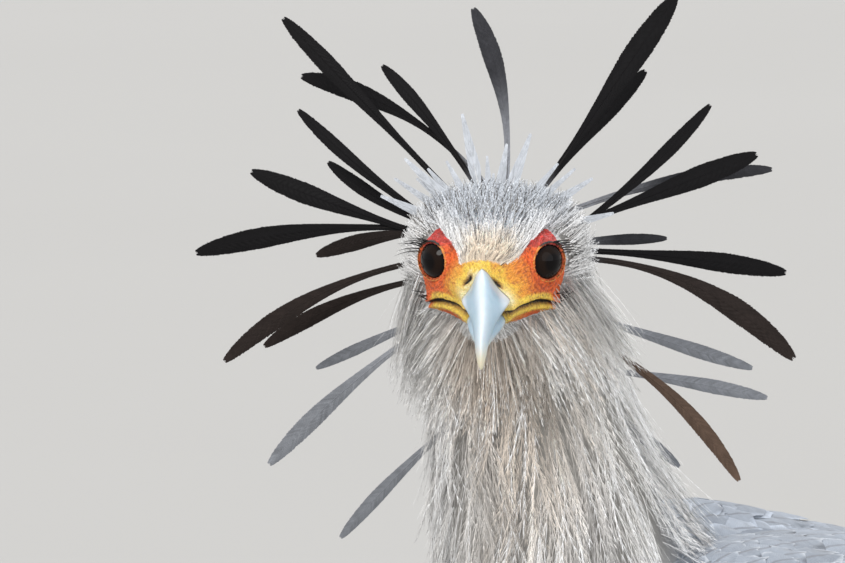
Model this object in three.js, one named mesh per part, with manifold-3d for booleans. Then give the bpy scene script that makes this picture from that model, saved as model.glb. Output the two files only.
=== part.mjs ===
// A secretary bird at life size, standing still with its crest spread and its head turned to its left.
// Millimetres and degrees. The body points along -Y, +X is the bird's left and +Z is up.
// The floor is at Z 0, and the finished group is moved so that the origin is the middle of its box on the floor.
import * as THREE from "three";
import { mergeVertices } from "three/addons/utils/BufferGeometryUtils.js";
import Module from "manifold-3d";

const wasm = await Module();
wasm.setup();
const { degToRad, lerp, smoothstep, seededRandom, clamp } = THREE.MathUtils;
const vec = (x, y, z) => new THREE.Vector3(x, y, z);

// Driving sizes
const gap = 0.3; // between two nodes that meet
const backHeight = 842; // floor to the top of the mantle
const eyeHeight = 950; // floor to the middle of the eyes
const headTurn = 35.5; // the head looks this far to the bird's left of where the body points
const headNod = 8; // and this far down
const viewTurn = 40; // the crest is fanned about a line of sight this far round
const viewRise = 6; // and this far above the level
const hockHeight = 335;
const footSpread = 54; // each foot's distance from the middle plane
const footForward = 14; // the ankles along Y
const eyeRadius = 9.5;
const lidThick = 1.6;
const vaneThick = 0.9;
const spikeThick = 1.4;

// Smooth values between the rows of a short table whose first column is the position
function profile(rows) {
  const width = rows[0].length - 1;
  const values = rows.flatMap((row) => row.slice(1));
  const through = new THREE.CubicInterpolant(rows.map((row) => row[0]), values, width, []);
  const first = rows[0][0];
  const last = rows[rows.length - 1][0];
  return (at) => Array.from(through.evaluate(clamp(at, first, last)));
}

// A closed geometry as a solid, turned inside out if its faces point inwards
function solid(geometry) {
  const bare = new THREE.BufferGeometry().setAttribute("position", geometry.getAttribute("position"));
  if (geometry.index) bare.setIndex(geometry.index);
  const merged = mergeVertices(bare, 1e-3);
  const vertProperties = new Float32Array(merged.getAttribute("position").array);
  const corners = Array.from(merged.index.array);
  const faces = [];
  for (let i = 0; i < corners.length; i += 3) {
    const [a, b, c] = corners.slice(i, i + 3);
    if (a !== b && b !== c && a !== c) faces.push(a, b, c);
  }
  const made = (triVerts) => new wasm.Manifold(new wasm.Mesh({ numProp: 3, vertProperties, triVerts }));
  const body = made(new Uint32Array(faces));
  return body.volume() >= 0 ? body : made(new Uint32Array(faces.reverse()));
}

function geometryOf(body) {
  const mesh = body.getMesh();
  const stride = mesh.numProp;
  const places = new Float32Array(mesh.numVert * 3);
  for (let i = 0; i < mesh.numVert; i++) {
    places.set(mesh.vertProperties.subarray(i * stride, i * stride + 3), i * 3);
  }
  return new THREE.BufferGeometry()
    .setAttribute("position", new THREE.BufferAttribute(places, 3))
    .setIndex(new THREE.BufferAttribute(new Uint32Array(mesh.triVerts), 1));
}

const moved = (body, matrix) => solid(geometryOf(body).applyMatrix4(matrix));
const mirrored = (body) => moved(body, new THREE.Matrix4().makeScale(-1, 1, 1));
const joined = (bodies) => bodies.reduce((all, next) => all.add(next));
const largest = (body) => body.decompose().sort((a, b) => b.volume() - a.volume())[0];

// A closed body lofted from one end to the other. `section(at)` gives the middle and the two half-size
// vectors there. `blunt` rounds the ends: 1 is an ellipsoid's, and near 0 is flat. `square` squares the section.
function loft({ from, to, around, along, section, blunt = 0.4, square = 2 }) {
  const geometry = new THREE.SphereGeometry(1, around, along);
  const places = geometry.getAttribute("position");
  const point = vec(0, 0, 0);
  for (let i = 0; i < places.count; i++) {
    const polar = Math.acos(clamp(places.getY(i), -1, 1));
    const turn = Math.atan2(places.getZ(i), -places.getX(i));
    const at = lerp(from, to, (1 - Math.cos(polar)) / 2);
    const full = Math.sin(polar) < 1e-4 ? 0 : Math.pow(Math.sin(polar), blunt);
    const rounded = (value) => Math.sign(value) * Math.pow(Math.abs(value), 2 / square);
    const { middle, across, upward } = section(at);
    point.copy(middle);
    point.addScaledVector(across, full * rounded(Math.cos(turn)));
    point.addScaledVector(upward, full * rounded(Math.sin(turn)));
    places.setXYZ(i, point.x, point.y, point.z);
  }
  return solid(geometry);
}

// An ellipsoid with the given half sizes, turned about Z
function ellipsoid(middle, half, turn = 0, around = 12, along = 8) {
  const geometry = new THREE.SphereGeometry(1, around, along).scale(half.x, half.y, half.z);
  geometry.rotateZ(degToRad(turn)).translate(middle.x, middle.y, middle.z);
  return solid(geometry);
}

// A thin sheet along rows of { at, side, face, half }: place, unit vector across, unit normal, half width.
// Both faces are split into triangles alike, from one plane's index.
function sheet(rows, thick = vaneThick) {
  const steps = rows.length - 1;
  const plane = new THREE.PlaneGeometry(2, 1, 1, steps);
  const flat = plane.getAttribute("position");
  const count = flat.count;
  const places = new Float32Array(count * 6);
  for (let i = 0; i < count; i++) {
    const row = rows[Math.floor(i / 2)];
    const edge = row.at.clone().addScaledVector(row.side, flat.getX(i) * row.half);
    const rise = row.face.clone().multiplyScalar(thick / 2);
    edge.clone().add(rise).toArray(places, i * 3);
    edge.clone().sub(rise).toArray(places, (count + i) * 3);
  }
  const top = Array.from(plane.index.array);
  const faces = [...top];
  for (let i = 0; i < top.length; i += 3) faces.push(top[i + 2] + count, top[i + 1] + count, top[i] + count);
  const rim = [0];
  for (let i = 0; i <= steps; i++) rim.push(i * 2 + 1);
  for (let i = steps; i > 0; i--) rim.push(i * 2);
  rim.forEach((a, i) => {
    const b = rim[(i + 1) % rim.length];
    faces.push(a, b, a + count, b, b + count, a + count);
  });
  const geometry = new THREE.BufferGeometry().setAttribute("position", new THREE.BufferAttribute(places, 3));
  return solid(geometry.setIndex(faces));
}

// The half-space on the side of a plane that its normal points to, as a large box
function beyond(point, normal) {
  const size = 3000;
  const turn = new THREE.Quaternion().setFromUnitVectors(vec(0, 0, 1), normal.clone().normalize());
  const box = new THREE.BoxGeometry(size, size, size).translate(0, 0, size / 2);
  box.applyQuaternion(turn).translate(point.x, point.y, point.z);
  return solid(box);
}

// Torso, lofted along Y: place, top, bottom, half width
const torsoEnds = [-214, 226];
const torsoRows = profile([
  [-214, 790, 690, 46],
  [-185, 824, 664, 68],
  [-130, 841, 646, 88],
  [-70, backHeight, 636, 97],
  [0, 829, 631, 98],
  [60, 811, 634, 90],
  [120, 790, 647, 74],
  [170, 767, 664, 56],
  [226, 738, 684, 34],
]);

function torsoForm(grow) {
  const section = (y) => {
    const [top, bottom, half] = torsoRows(y);
    const middle = vec(0, y, (top + bottom) / 2);
    return { middle, across: vec(half + grow, 0, 0), upward: vec(0, 0, (top - bottom) / 2 + grow) };
  };
  const [from, to] = torsoEnds;
  return loft({ from: from - grow, to: to + grow, around: 20, along: 12, section, blunt: 0.5 });
}

// Neck, lofted up along Z: height, middle along Y, half width, half depth
const neckRows = profile([
  [740, -112, 70, 80],
  [780, -119, 63, 76],
  [810, -129, 55, 67],
  [835, -142, 50, 55],
  [860, -151, 46.5, 47],
  [885, -160, 42, 41],
  [914, -171, 38.5, 37],
  [942, -181, 33, 31],
]);

const neckAt = (grow) => (z) => {
  const [y, halfX, halfY] = neckRows(z);
  return { middle: vec(0, y, z), across: vec(halfX + grow, 0, 0), upward: vec(0, halfY + grow, 0) };
};

function neckForm(grow) {
  return loft({ from: 735, to: 945, around: 18, along: 10, section: neckAt(grow), blunt: 0.2 });
}

// The head's own frame: its origin is inside the skull, +X is the bird's left and the bill points along -Y
const headPlace = new THREE.Matrix4().compose(
  vec(0, -185, eyeHeight + 0.5),
  new THREE.Quaternion().setFromEuler(new THREE.Euler(degToRad(headNod), 0, degToRad(headTurn), "ZXY")),
  vec(1, 1, 1),
);
const eyeAlong = -18; // the eyes' middle along the head
const eyeOut = 17.5;
const eyeUp = 1.5;
const billAlong = -45; // where the horn of the bill begins
const mouthRise = -13.7;

// Head, lofted along its own Y: place, top, bottom, half width
const headRows = profile([
  [-58, 2, -20, 8],
  [-46, 5, -22.5, 10.4],
  [-40, 6.8, -23, 13],
  [-34, 8.5, -23.5, 17],
  [-26, 12.5, -24.5, 22.5],
  [-16, 17, -26, 27.5],
  [-4, 20.5, -28, 32],
  [10, 22.5, -30, 35.5],
  [24, 22, -31, 36],
  [38, 17, -30, 31],
  [50, 6, -24, 19],
]);

function headForm(grow) {
  const section = (y) => {
    const [top, bottom, half] = headRows(y);
    const middle = vec(0, y, (top + bottom) / 2);
    return { middle, across: vec(half + grow, 0, 0), upward: vec(0, 0, (top - bottom) / 2 + grow) };
  };
  const form = loft({ from: -58, to: 52 + grow, around: 18, along: 12, section, blunt: 0.3, square: 2.4 });
  return moved(form.intersect(beyond(vec(0, billAlong - grow, 0), vec(0, 1, 0))), headPlace);
}

const bothSides = [1, -1]; // the bird's left, then its right

// What is added to and cut from the head round each eye, in the head's frame
function eyeRegion(side) {
  const centre = vec(side * eyeOut, eyeAlong, eyeUp);
  const look = vec(side * Math.sin(degToRad(48)), -Math.cos(degToRad(48)), 0.04).normalize();
  const turn = new THREE.Quaternion().setFromUnitVectors(vec(0, 1, 0), look);
  const opening = new THREE.CylinderGeometry(7.4, 6.8, 12, 10).translate(0, 10.5, 0);
  opening.applyQuaternion(turn).translate(centre.x, centre.y, centre.z);
  const front = beyond(centre.clone().addScaledVector(look, -3), look);
  const frontCut = beyond(centre.clone().addScaledVector(look, -3 - gap), look);
  const ball = (radius, around, along) => ellipsoid(centre, vec(radius, radius, radius), 0, around, along);
  const lids = ball(eyeRadius + lidThick, 10, 6);
  const brow = ellipsoid(vec(side * 22, eyeAlong - 2, 11.6), vec(5.6, 14, 3.8), side * -30, 7, 5);
  return {
    added: joined([lids, brow]),
    cut: joined([ball(eyeRadius + gap, 12, 8).intersect(frontCut), solid(opening)]),
    eye: ball(eyeRadius, 12, 8).intersect(front),
  };
}

// The fleshy lips along the gape, the line of the mouth between them, and the slit of the nostril
function mouthRegion(side) {
  const front = vec(side * 10, billAlong - 2, mouthRise);
  const corner = vec(side * 23, -20, -16.2);
  const along = corner.clone().sub(front);
  const turn = new THREE.Quaternion().setFromUnitVectors(vec(0, 1, 0), along.clone().normalize());
  const middle = front.clone().add(corner).multiplyScalar(0.5);
  const lip = new THREE.CapsuleGeometry(2.8, along.length() - 2, 2, 5);
  const line = new THREE.BoxGeometry(14, along.length() + 4, 0.8);
  [lip, line].forEach((g) => g.applyQuaternion(turn).translate(middle.x, middle.y, middle.z));
  const nostril = ellipsoid(vec(side * 9.8, -41, 0.2), vec(2, 3.2, 1.3), side * -28, 6, 4);
  return { added: solid(lip), cut: joined([solid(line), nostril]) };
}

// The feathers of the crest, one row each, seen along the line of sight from the front.
// root: height of the root on the nape; across, up: where the tip shows; arch: how far the middle bows
// towards the top; back: how far the tip lies behind the eyes; half: half the vane's greatest width
const crestPlumes = [
  { root: 1, across: -84, up: 92, arch: 0, back: 64, half: 3.6 },
  { root: 18, across: -77, up: 69, arch: 9, back: 98, half: 4 },
  { root: 9, across: -44, up: 73, arch: 2.5, back: 72, half: 2.9 },
  { root: -6, across: -78, up: 55, arch: -4, back: 74, half: 2.7 },
  { root: 0, across: -66, up: 34, arch: -5, back: 86, half: 2.8 },
  { root: -4, across: -97, up: 30, arch: -2, back: 68, half: 4.2 },
  { root: 3, across: -117, up: -3, arch: 7, back: 76, half: 4.2 },
  { root: 4, across: -71, up: -4, arch: 5, back: 110, half: 3.2 },
  { root: -4, across: -108, up: -47, arch: 12, back: 82, half: 3.6 },
  { root: -11, across: -92, up: -41, arch: 8, back: 96, half: 3.2 },
  { root: -18, across: -71, up: -50, arch: 1, back: 110, half: 2.2 },
  { root: -15, across: -90, up: -89, arch: 5, back: 94, half: 3.6 },
  { root: 6, across: -5, up: 93, arch: 7, back: 112, half: 3.8 },
  { root: -3, across: 75, up: 101, arch: 0, back: 68, half: 4.6 },
  { root: -2, across: 62, up: 69, arch: 0, back: 82, half: 3.4 },
  { root: -13, across: 88, up: 56, arch: -5, back: 70, half: 2.8 },
  { root: -4, across: 106, up: 36, arch: 0, back: 72, half: 4.6 },
  { root: 0, across: 112, up: 31, arch: 7, back: 90, half: 3.2 },
  { root: -2, across: 70, up: 3, arch: 1, back: 104, half: 2.2 },
  { root: -2, across: 118, up: -10, arch: 3, back: 82, half: 3.9 },
  { root: -8, across: 121, up: -45, arch: 17, back: 74, half: 4.6 },
  { root: -17, across: 102, up: -49, arch: 0, back: 110, half: 2.9 },
  { root: -25, across: 100, up: -93, arch: 13, back: 84, half: 4 },
];
// Those that grow from the hind neck below the head
const napePlumes = [
  { root: -50, across: -61, up: -119, arch: 3, back: 104, half: 2.7 },
  { root: -47, across: 113, up: -62, arch: 2, back: 108, half: 2.8 },
  { root: -52, across: 77, up: -90, arch: 4, back: 96, half: 2.4 },
];
// The short pale ones along the back of the crown: where each tip shows, and how far back it lies
const crownSpikes = [
  { across: -11.6, up: 53, back: 46, half: 2.1 },
  { across: -34.8, up: 35, back: 42, half: 2 },
  { across: -25.5, up: 31, back: 46, half: 1.7 },
  { across: 6.4, up: 41, back: 48, half: 1.8 },
  { across: 16, up: 45, back: 44, half: 2 },
  { across: 41, up: 27, back: 44, half: 2 },
  { across: -44.4, up: 20, back: 48, half: 2 },
  { across: -1.6, up: 36, back: 42, half: 1.5 },
  { across: 49.6, up: 13, back: 50, half: 2.1 },
];
// The fan's own frame: across, away from the viewer, up, from a point just over the middle of the eyes
const fanTurn = new THREE.Quaternion().setFromEuler(
  new THREE.Euler(degToRad(-viewRise), 0, degToRad(viewTurn), "ZXY"),
);
const eyesMiddle = vec(0, eyeAlong, eyeUp).applyMatrix4(headPlace);
const fanPlace = new THREE.Matrix4().compose(
  eyesMiddle.clone().add(vec(0, 0, 6.8)),
  fanTurn,
  vec(1, 1, 1),
);
const napeDepth = 46; // the roots of the crest lie this far behind the eyes
const plumeSteps = [0, 0.4, 0.75, 0.93, 1];

// A crest feather is a narrow stalk that broadens into a spoon and rounds off at its tip
function plumeHalf(t, most) {
  const stalk = 1.1;
  const spoon = lerp(stalk, most, smoothstep(t, 0.1, 0.75));
  return t < 0.75 ? spoon : most * Math.sqrt(Math.max(0.04, 1 - Math.pow((t - 0.75) / 0.25, 2.4) * 0.96));
}

function plume({ root, across, up, arch, back, half }, sideways) {
  const start = vec(sideways, napeDepth, root);
  const tip = vec(across, back, up);
  const chord = tip.clone().sub(start);
  const flat = Math.hypot(chord.x, chord.z);
  const towardsTop = vec((-chord.z * Math.sign(chord.x)) / flat, 0, Math.abs(chord.x) / flat);
  const place = (t) => start.clone().addScaledVector(chord, t).addScaledVector(towardsTop, 4 * arch * t * (1 - t));
  const rows = plumeSteps.map((t) => {
    const along = place(Math.min(1, t + 0.02)).sub(place(Math.max(0, t - 0.02))).normalize();
    const side = along.clone().cross(vec(0, -1, 0)).normalize();
    return { at: place(t), side, face: side.clone().cross(along).normalize(), half: plumeHalf(t, half) };
  });
  return moved(sheet(rows), fanPlace);
}

function crownSpike({ across, up, back, half }) {
  const start = vec(across * 0.35, back - 14, up * 0.35);
  const tip = vec(across, back, up);
  const along = tip.clone().sub(start).normalize();
  const side = along.clone().cross(vec(0, -1, 0)).normalize();
  const face = side.clone().cross(along).normalize();
  const rows = [0, 0.6, 1].map((t) => {
    const width = half * (t < 0.7 ? 1.2 : 0.3);
    return { at: start.clone().lerp(tip, t), side, face, half: width };
  });
  return moved(sheet(rows, spikeThick), fanPlace);
}

const lockSunk = 8; // the root of a lock lies this deep in the flesh
// A tapered lock of loose feathers that leaves a lofted form at one height and hangs along it. `rows(z)`
// gives the form there, and `stand` is how far the tip stands off.
function lock({ rows, top, turn, length, stand, half }) {
  const shares = [0.75, 1, 0.14];
  const frames = [0, 0.45, 1].map((t, i) => {
    const height = top - length * t;
    const { middle, across, upward } = rows(height);
    const x = Math.cos(turn);
    const y = Math.sin(turn);
    const face = vec(x / across.x, y / upward.y, 0).normalize();
    const at = middle.clone().addScaledVector(across, x).addScaledVector(upward, y);
    at.addScaledVector(face, [-lockSunk, stand * 0.55, stand][i]);
    return { at, side: vec(-face.y, face.x, 0), face, half: half * shares[i] };
  });
  return sheet(frames);
}

// Rings of locks, each one's neighbours standing a little further out or in, so that they lap
function lockRings(rows, rings, seed) {
  return rings.flatMap((ring, r) =>
    Array.from({ length: ring.count }, (_, i) => {
      const draw = seededRandom(seed + r * 40 + i);
      return lock({
        rows,
        top: ring.top + 5 * draw,
        turn: ((i + 0.5 * (r % 2)) / ring.count) * 2 * Math.PI,
        length: ring.length * (0.88 + 0.24 * draw),
        stand: ring.stand + (i % 2 ? 2.2 : 0),
        half: ring.half,
      });
    }),
  );
}

const lockRoom = 9; // the locks of the neck stand out this far at most, with a gap
const neckRings = [
  { top: 903, count: 8, length: 46, stand: 4.5, half: 13 },
  { top: 874, count: 8, length: 48, stand: 4.5, half: 14.5 },
  { top: 845, count: 8, length: 38, stand: 6, half: 16 },
];

// Folded wing: place along Y, then its section's middle across and up, and its half sizes across and up
const wingRows = profile([
  [-190, 52, 744, 18, 20],
  [-170, 52, 746, 36, 47],
  [-120, 46, 746, 58, 76],
  [-60, 42, 741, 72, 84],
  [0, 40, 735, 76, 83],
  [80, 38, 728, 68, 74],
  [160, 34, 726, 52, 61],
  [230, 30, 722, 36, 42],
  [300, 27, 712, 22, 27],
  [360, 24, 696, 13, 18],
  [440, 20, 672, 6, 9],
]);
const wingEnd = 262; // the solid hand of the wing ends here, and only feathers go on

// A point on the folded wing's outside. `down` runs from 0 along the back to 1 along the lower edge.
function wingPoint(y, down, lift) {
  const [x, z, halfX, halfZ] = wingRows(y);
  const turn = degToRad(lerp(102, -42, down));
  return vec(x + (halfX + lift) * Math.cos(turn), y, z + (halfZ + lift) * Math.sin(turn));
}

const wingSunk = 4; // the wing's solid core lies this far under its feathers
const wingEdge = { at: vec(0, -190, 692), up: vec(0, 0.07, 1) }; // the lower edge of the folded wing

function wingCore() {
  const section = (y) => {
    const [x, z, halfX, halfZ] = wingRows(y);
    return { middle: vec(x, y, z), across: vec(halfX - wingSunk, 0, 0), upward: vec(0, 0, halfZ - wingSunk) };
  };
  const form = loft({ from: -190, to: wingEnd, around: 14, along: 10, section, blunt: 0.05 });
  return form.intersect(beyond(wingEdge.at, wingEdge.up));
}

// One feather laid on the folded wing: from its root to its tip as [place, down], with rows of
// [how far along, share of the half width]. `reach` is half the share of the girth that it covers.
// Its lower edge is tipped out over the next feather down.
const wingLean = 0.16;
function wingVane({ from, to, reach, lift, rows }) {
  const step = 0.02;
  const frames = rows.map(([t, share]) => {
    const y = lerp(from[0], to[0], t);
    const down = lerp(from[1], to[1], t);
    const raise = t === 0 ? -2 * wingSunk : lerp(-1, lift, t);
    const at = wingPoint(y, down, raise);
    const across = wingPoint(y, down + step, raise).sub(wingPoint(y, down - step, raise));
    const half = (across.length() / (2 * step)) * reach * share;
    const along = wingPoint(y + 2, down, raise).sub(wingPoint(y - 2, down, raise)).normalize();
    const side = across.normalize().applyAxisAngle(along, -wingLean);
    return { at, side, face: side.clone().cross(along).normalize(), half };
  });
  return sheet(frames);
}

const coverRows = [[0, 0.85], [0.7, 1], [1, 0.5]];
const flightRows = [[0, 0.8], [0.35, 1], [0.86, 0.95], [1, 0.4]];
// Tiers of the wing from the front: feathers, their length, where the tips lie at the back and at the
// lower edge, the share of the girth that they cover, and how far the tips stand off
const wingTiers = [
  { count: 6, length: 60, tips: [-82, -116], girth: [0.1, 1], lift: 5.5, rows: coverRows },
  { count: 7, length: 78, tips: [-22, -66], girth: [0.06, 1], lift: 5.5, rows: coverRows },
  { count: 7, length: 104, tips: [58, -8], girth: [0.04, 1], lift: 5.5, rows: coverRows },
  { count: 8, length: 165, tips: [186, 92], girth: [0.06, 1], lift: 3.5, rows: flightRows },
];
const lap = 1.12; // how far a feather of a tier is wider than its share of the girth
const innerFeathers = 3; // the long inner feathers that lie over the rump
const primaries = 5; // their tips step back to the point of the wing

function wingVanes() {
  const tiers = wingTiers.flatMap(({ count, length, tips, girth, lift, rows }) =>
    Array.from({ length: count }, (_, i) => {
      const down = lerp(girth[0], girth[1], (i + 0.5) / count);
      const tip = lerp(tips[0], tips[1], down);
      const reach = ((girth[1] - girth[0]) / count / 2) * lap;
      return wingVane({ from: [tip - length, down], to: [tip, down], reach, lift, rows });
    }),
  );
  const inner = Array.from({ length: innerFeathers }, (_, i) => {
    const down = 0.12 + i * 0.16;
    const tip = 262 - i * 16;
    return wingVane({ from: [150, down], to: [tip, down], reach: 0.09, lift: 6, rows: flightRows });
  });
  return [...tiers, ...inner, ...primaryVanes()];
}

// The primaries of the folded hand lie one on the other, each a little higher, further out and shorter
function primaryVanes() {
  const side = vec(0.5, 0, -0.86); // they stand edge down, leaning out
  const root = 180;
  const step = 34;
  const half = 12;
  return Array.from({ length: primaries }, (_, i) => {
    const tip = 428 - i * step;
    const frames = flightRows.map(([t, share]) => {
      const y = lerp(root, tip, t);
      const [x, z, halfX] = wingRows(y);
      const at = vec(x + halfX * 0.45, y, z + 1.5 * i);
      const ahead = wingRows(y + 2);
      const along = vec(ahead[0] - x, 2, ahead[1] - z).normalize();
      const face = side.clone().cross(along).normalize();
      return { at: at.addScaledVector(face, 2 * i), side, face, half: half * share };
    });
    return sheet(frames);
  });
}

// Tail: a short root under the rump, twelve feathers that get shorter outwards, and the coverts over them
const tailRoot = vec(0, 212, 710);
const tailSlope = 0.3;

function tailCore(grow) {
  return ellipsoid(vec(0, 224, 703), vec(26 + grow, 34 + grow, 18 + grow), 0, 12, 8);
}

// The room that the root of the tail and the feathers over it take between the folded wings
function tailRoom() {
  const section = (y) => {
    const middle = vec(0, y, tailRoot.z - 4 - tailSlope * (y - tailRoot.y));
    return { middle, across: vec(34, 0, 0), upward: vec(0, 0, 22) };
  };
  return loft({ from: 182, to: 350, around: 12, along: 8, section, blunt: 0.15, square: 4 });
}

// A tail feather leaves the root with its inner edge along the middle line and fans out from it
function tailVane({ side, inner, fan, length, sag, drop, half, lean, rows }) {
  const place = (t, share) => {
    const run = length * t;
    const out = inner + half * share + run * fan;
    return vec(side * out, tailRoot.y + run, tailRoot.z - drop - tailSlope * run - sag * t * t);
  };
  const frames = rows.map(([t, share]) => {
    const along = place(t + 0.02, share).sub(place(t - 0.02, share)).normalize();
    const level = vec(side * Math.cos(lean), 0, -Math.sin(lean));
    const across = level.addScaledVector(along, -level.dot(along)).normalize();
    return { at: place(t, share), side: across, face: across.clone().cross(along), half: half * share };
  });
  return sheet(frames);
}

const tailRows = [[0, 0.5], [0.35, 0.95], [0.9, 1], [0.975, 0.75], [1, 0.3]];
const centreRows = [[0, 0.4], [0.25, 0.8], [0.5, 1], [0.78, 1], [0.93, 0.8], [0.98, 0.5], [1, 0.2]];
const outerLengths = [400, 372, 344, 316, 288];
const rumpLengths = [126, 104];
const layer = 2.6; // from one tail feather down to the next

function tailVanes() {
  return bothSides.flatMap((side) => {
    const over = side > 0 ? -layer : 0; // the left one of the middle pair lies on top
    const centre = { inner: -17, fan: 0.012, length: 534, sag: 74, drop: over - layer, half: 19, lean: 0 };
    const fanned = outerLengths.map((length, i) => ({
      inner: 0.4,
      fan: 0.02 * (i + 1),
      length,
      sag: 10,
      drop: layer * (i + 0.6),
      half: 17,
      lean: 0.07,
    }));
    const rump = rumpLengths.map((length, i) => ({
      inner: 0.4 + i * 9,
      fan: 0.03 * i,
      length,
      sag: 0,
      drop: layer * (i - 3.6),
      half: 10,
      lean: 0,
    }));
    return [
      tailVane({ side, rows: centreRows, ...centre }),
      ...[...fanned, ...rump].map((sizes) => tailVane({ side, rows: tailRows, ...sizes })),
    ];
  });
}

// Legs. Thigh: height, middle along X and Y, half width, half depth
const thighRows = profile([
  [350, 53, 36, 10.5, 12],
  [385, 53, 35, 11, 13],
  [420, 52.5, 33, 15, 18],
  [470, 52, 28, 20, 26],
  [530, 51, 20, 27, 38],
  [590, 49, 11, 34, 50],
  [640, 46, 4, 39, 60],
  [705, 42, 0, 36, 56],
]);
const shankTop = hockHeight + 16;

const thighAt = (grow) => (z) => {
  const [x, y, halfX, halfY] = thighRows(z);
  return { middle: vec(x, y, z), across: vec(halfX + grow, 0, 0), upward: vec(0, halfY + grow, 0) };
};

function thighForm(grow) {
  const form = loft({ from: 335, to: 705, around: 12, along: 9, section: thighAt(grow), blunt: 0.15 });
  return form.intersect(beyond(vec(0, 0, shankTop + gap - grow), vec(0, 0, 1)));
}

// The shaggy feathers of the thigh
const thighRings = [
  { top: 640, count: 7, length: 104, stand: 5, half: 20 },
  { top: 560, count: 6, length: 96, stand: 5, half: 16 },
  { top: 490, count: 5, length: 84, stand: 4, half: 12 },
];

// Shank: height, middle along Y from the foot, half width, half depth
const shankRows = profile([
  [14, 1, 10.5, 12],
  [34, 1, 8.6, 10.4],
  [90, 3, 7.6, 9],
  [200, 10, 7.6, 9.2],
  [285, 17, 9.5, 12],
  [322, 21.5, 12, 15],
  [hockHeight, 22, 12.2, 15],
  [360, 22, 10.6, 12],
]);
const ankleHeight = 26;

function shankForm() {
  const section = (z) => {
    const [y, halfX, halfY] = shankRows(z);
    return { middle: vec(footSpread, y + footForward, z), across: vec(halfX, 0, 0), upward: vec(0, halfY, 0) };
  };
  return loft({ from: 4, to: 368, around: 10, along: 12, section, blunt: 0.12 });
}

// Toes, from the ankle: name, direction from straight ahead, length, radius
const toes = [
  { name: "inner", aim: -30, length: 50, radius: 8 },
  { name: "middle", aim: 2, length: 68, radius: 8.4 },
  { name: "outer", aim: 34, length: 52, radius: 7.8 },
  { name: "hind", aim: 172, length: 34, radius: 7 },
];
const clawLength = 19;

// A point along a toe: its line leaves the ankle and runs on the floor
function toeLine(toe) {
  const aim = degToRad(toe.aim);
  const ahead = vec(Math.sin(aim), -Math.cos(aim), 0);
  const start = vec(footSpread, footForward + 2, 0);
  return { ahead, point: (run, up) => start.clone().addScaledVector(ahead, run).setZ(up) };
}

function toeForm(toe) {
  const { ahead, point } = toeLine(toe);
  const level = vec(-ahead.y, ahead.x, 0);
  const section = (run) => {
    const share = run / toe.length;
    const knuckle = 1 + 0.09 * Math.cos(share * 4 * Math.PI);
    const radius = toe.radius * lerp(1.12, 0.72, share) * knuckle;
    const flatten = 0.86;
    return {
      middle: point(run, radius * flatten - 1.6),
      across: level.clone().multiplyScalar(radius),
      upward: vec(0, 0, radius * flatten),
    };
  };
  return loft({ from: -6, to: toe.length + 4, around: 6, along: 6, section, blunt: 0.4 });
}

function clawForm(toe, grow) {
  const { ahead, point } = toeLine(toe);
  const level = vec(-ahead.y, ahead.x, 0);
  const base = toe.length;
  const section = (run) => {
    const share = clamp((run - base) / clawLength, 0, 1);
    const radius = lerp(4, 0.7, Math.pow(share, 1.2)) + grow;
    return {
      middle: point(run, 6.4 - 3.6 * share * share),
      across: level.clone().multiplyScalar(radius * 0.8),
      upward: vec(0, 0, radius),
    };
  };
  return loft({ from: base - 8, to: base + clawLength, around: 6, along: 6, section, blunt: 0.3 });
}

function footForm() {
  const ball = ellipsoid(vec(footSpread, footForward + 1, 9), vec(14, 15, 11), 0, 10, 6);
  const stump = shankForm().intersect(beyond(vec(0, 0, ankleHeight), vec(0, 0, -1)));
  const foot = joined([ball, stump, ...toes.map(toeForm)]);
  return foot.intersect(beyond(vec(0, 0, 0), vec(0, 0, 1)));
}

// Colours and finishes, one for each kind of surface
const finish = (color, roughness) => new THREE.MeshStandardMaterial({ color, roughness, metalness: 0 });
const finishes = {
  plumage: finish("#c9ccd0", 0.85),
  throat: finish("#d3d0ca", 0.9),
  wing: finish("#aeb6bf", 0.8),
  tail: finish("#9aa1a8", 0.8),
  thigh: finish("#1b1a1b", 0.8),
  scute: finish("#b99a86", 0.55),
  claw: finish("#2c2825", 0.4),
  horn: finish("#a9c4d2", 0.3),
  eye: finish("#1d120c", 0.08),
};

const bird = new THREE.Group();
const head = new THREE.Group();
head.applyMatrix4(headPlace);
bird.add(head);

function addNode(name, body, material, group = bird) {
  const kept = largest(body);
  const geometry = geometryOf(kept);
  if (group !== bird) geometry.applyMatrix4(group.matrix.clone().invert());
  const mesh = new THREE.Mesh(geometry, material);
  mesh.name = name;
  group.add(mesh);
  return kept;
}

// The flesh is one form, parted by thin cuts under the head and round the base of the neck
const headCut = { at: vec(0, -170, 914), up: vec(0, 0, 1) };
const neckCut = { at: vec(0, -150, 805), up: vec(0, -0.485, 0.875) };
const above = (cut, off) => beyond(cut.at.clone().addScaledVector(cut.up, off), cut.up);
const below = (cut, off) => beyond(cut.at.clone().addScaledVector(cut.up, off), cut.up.clone().negate());
const shy = gap / 3; // feathers keep clear of the flesh across a cut from just short of the cut's own face
const flesh = (grow) => joined([torsoForm(grow), neckForm(grow), headForm(grow)]);
const fleshNow = flesh(0);
const fleshGrown = flesh(gap + 0.15);

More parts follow.
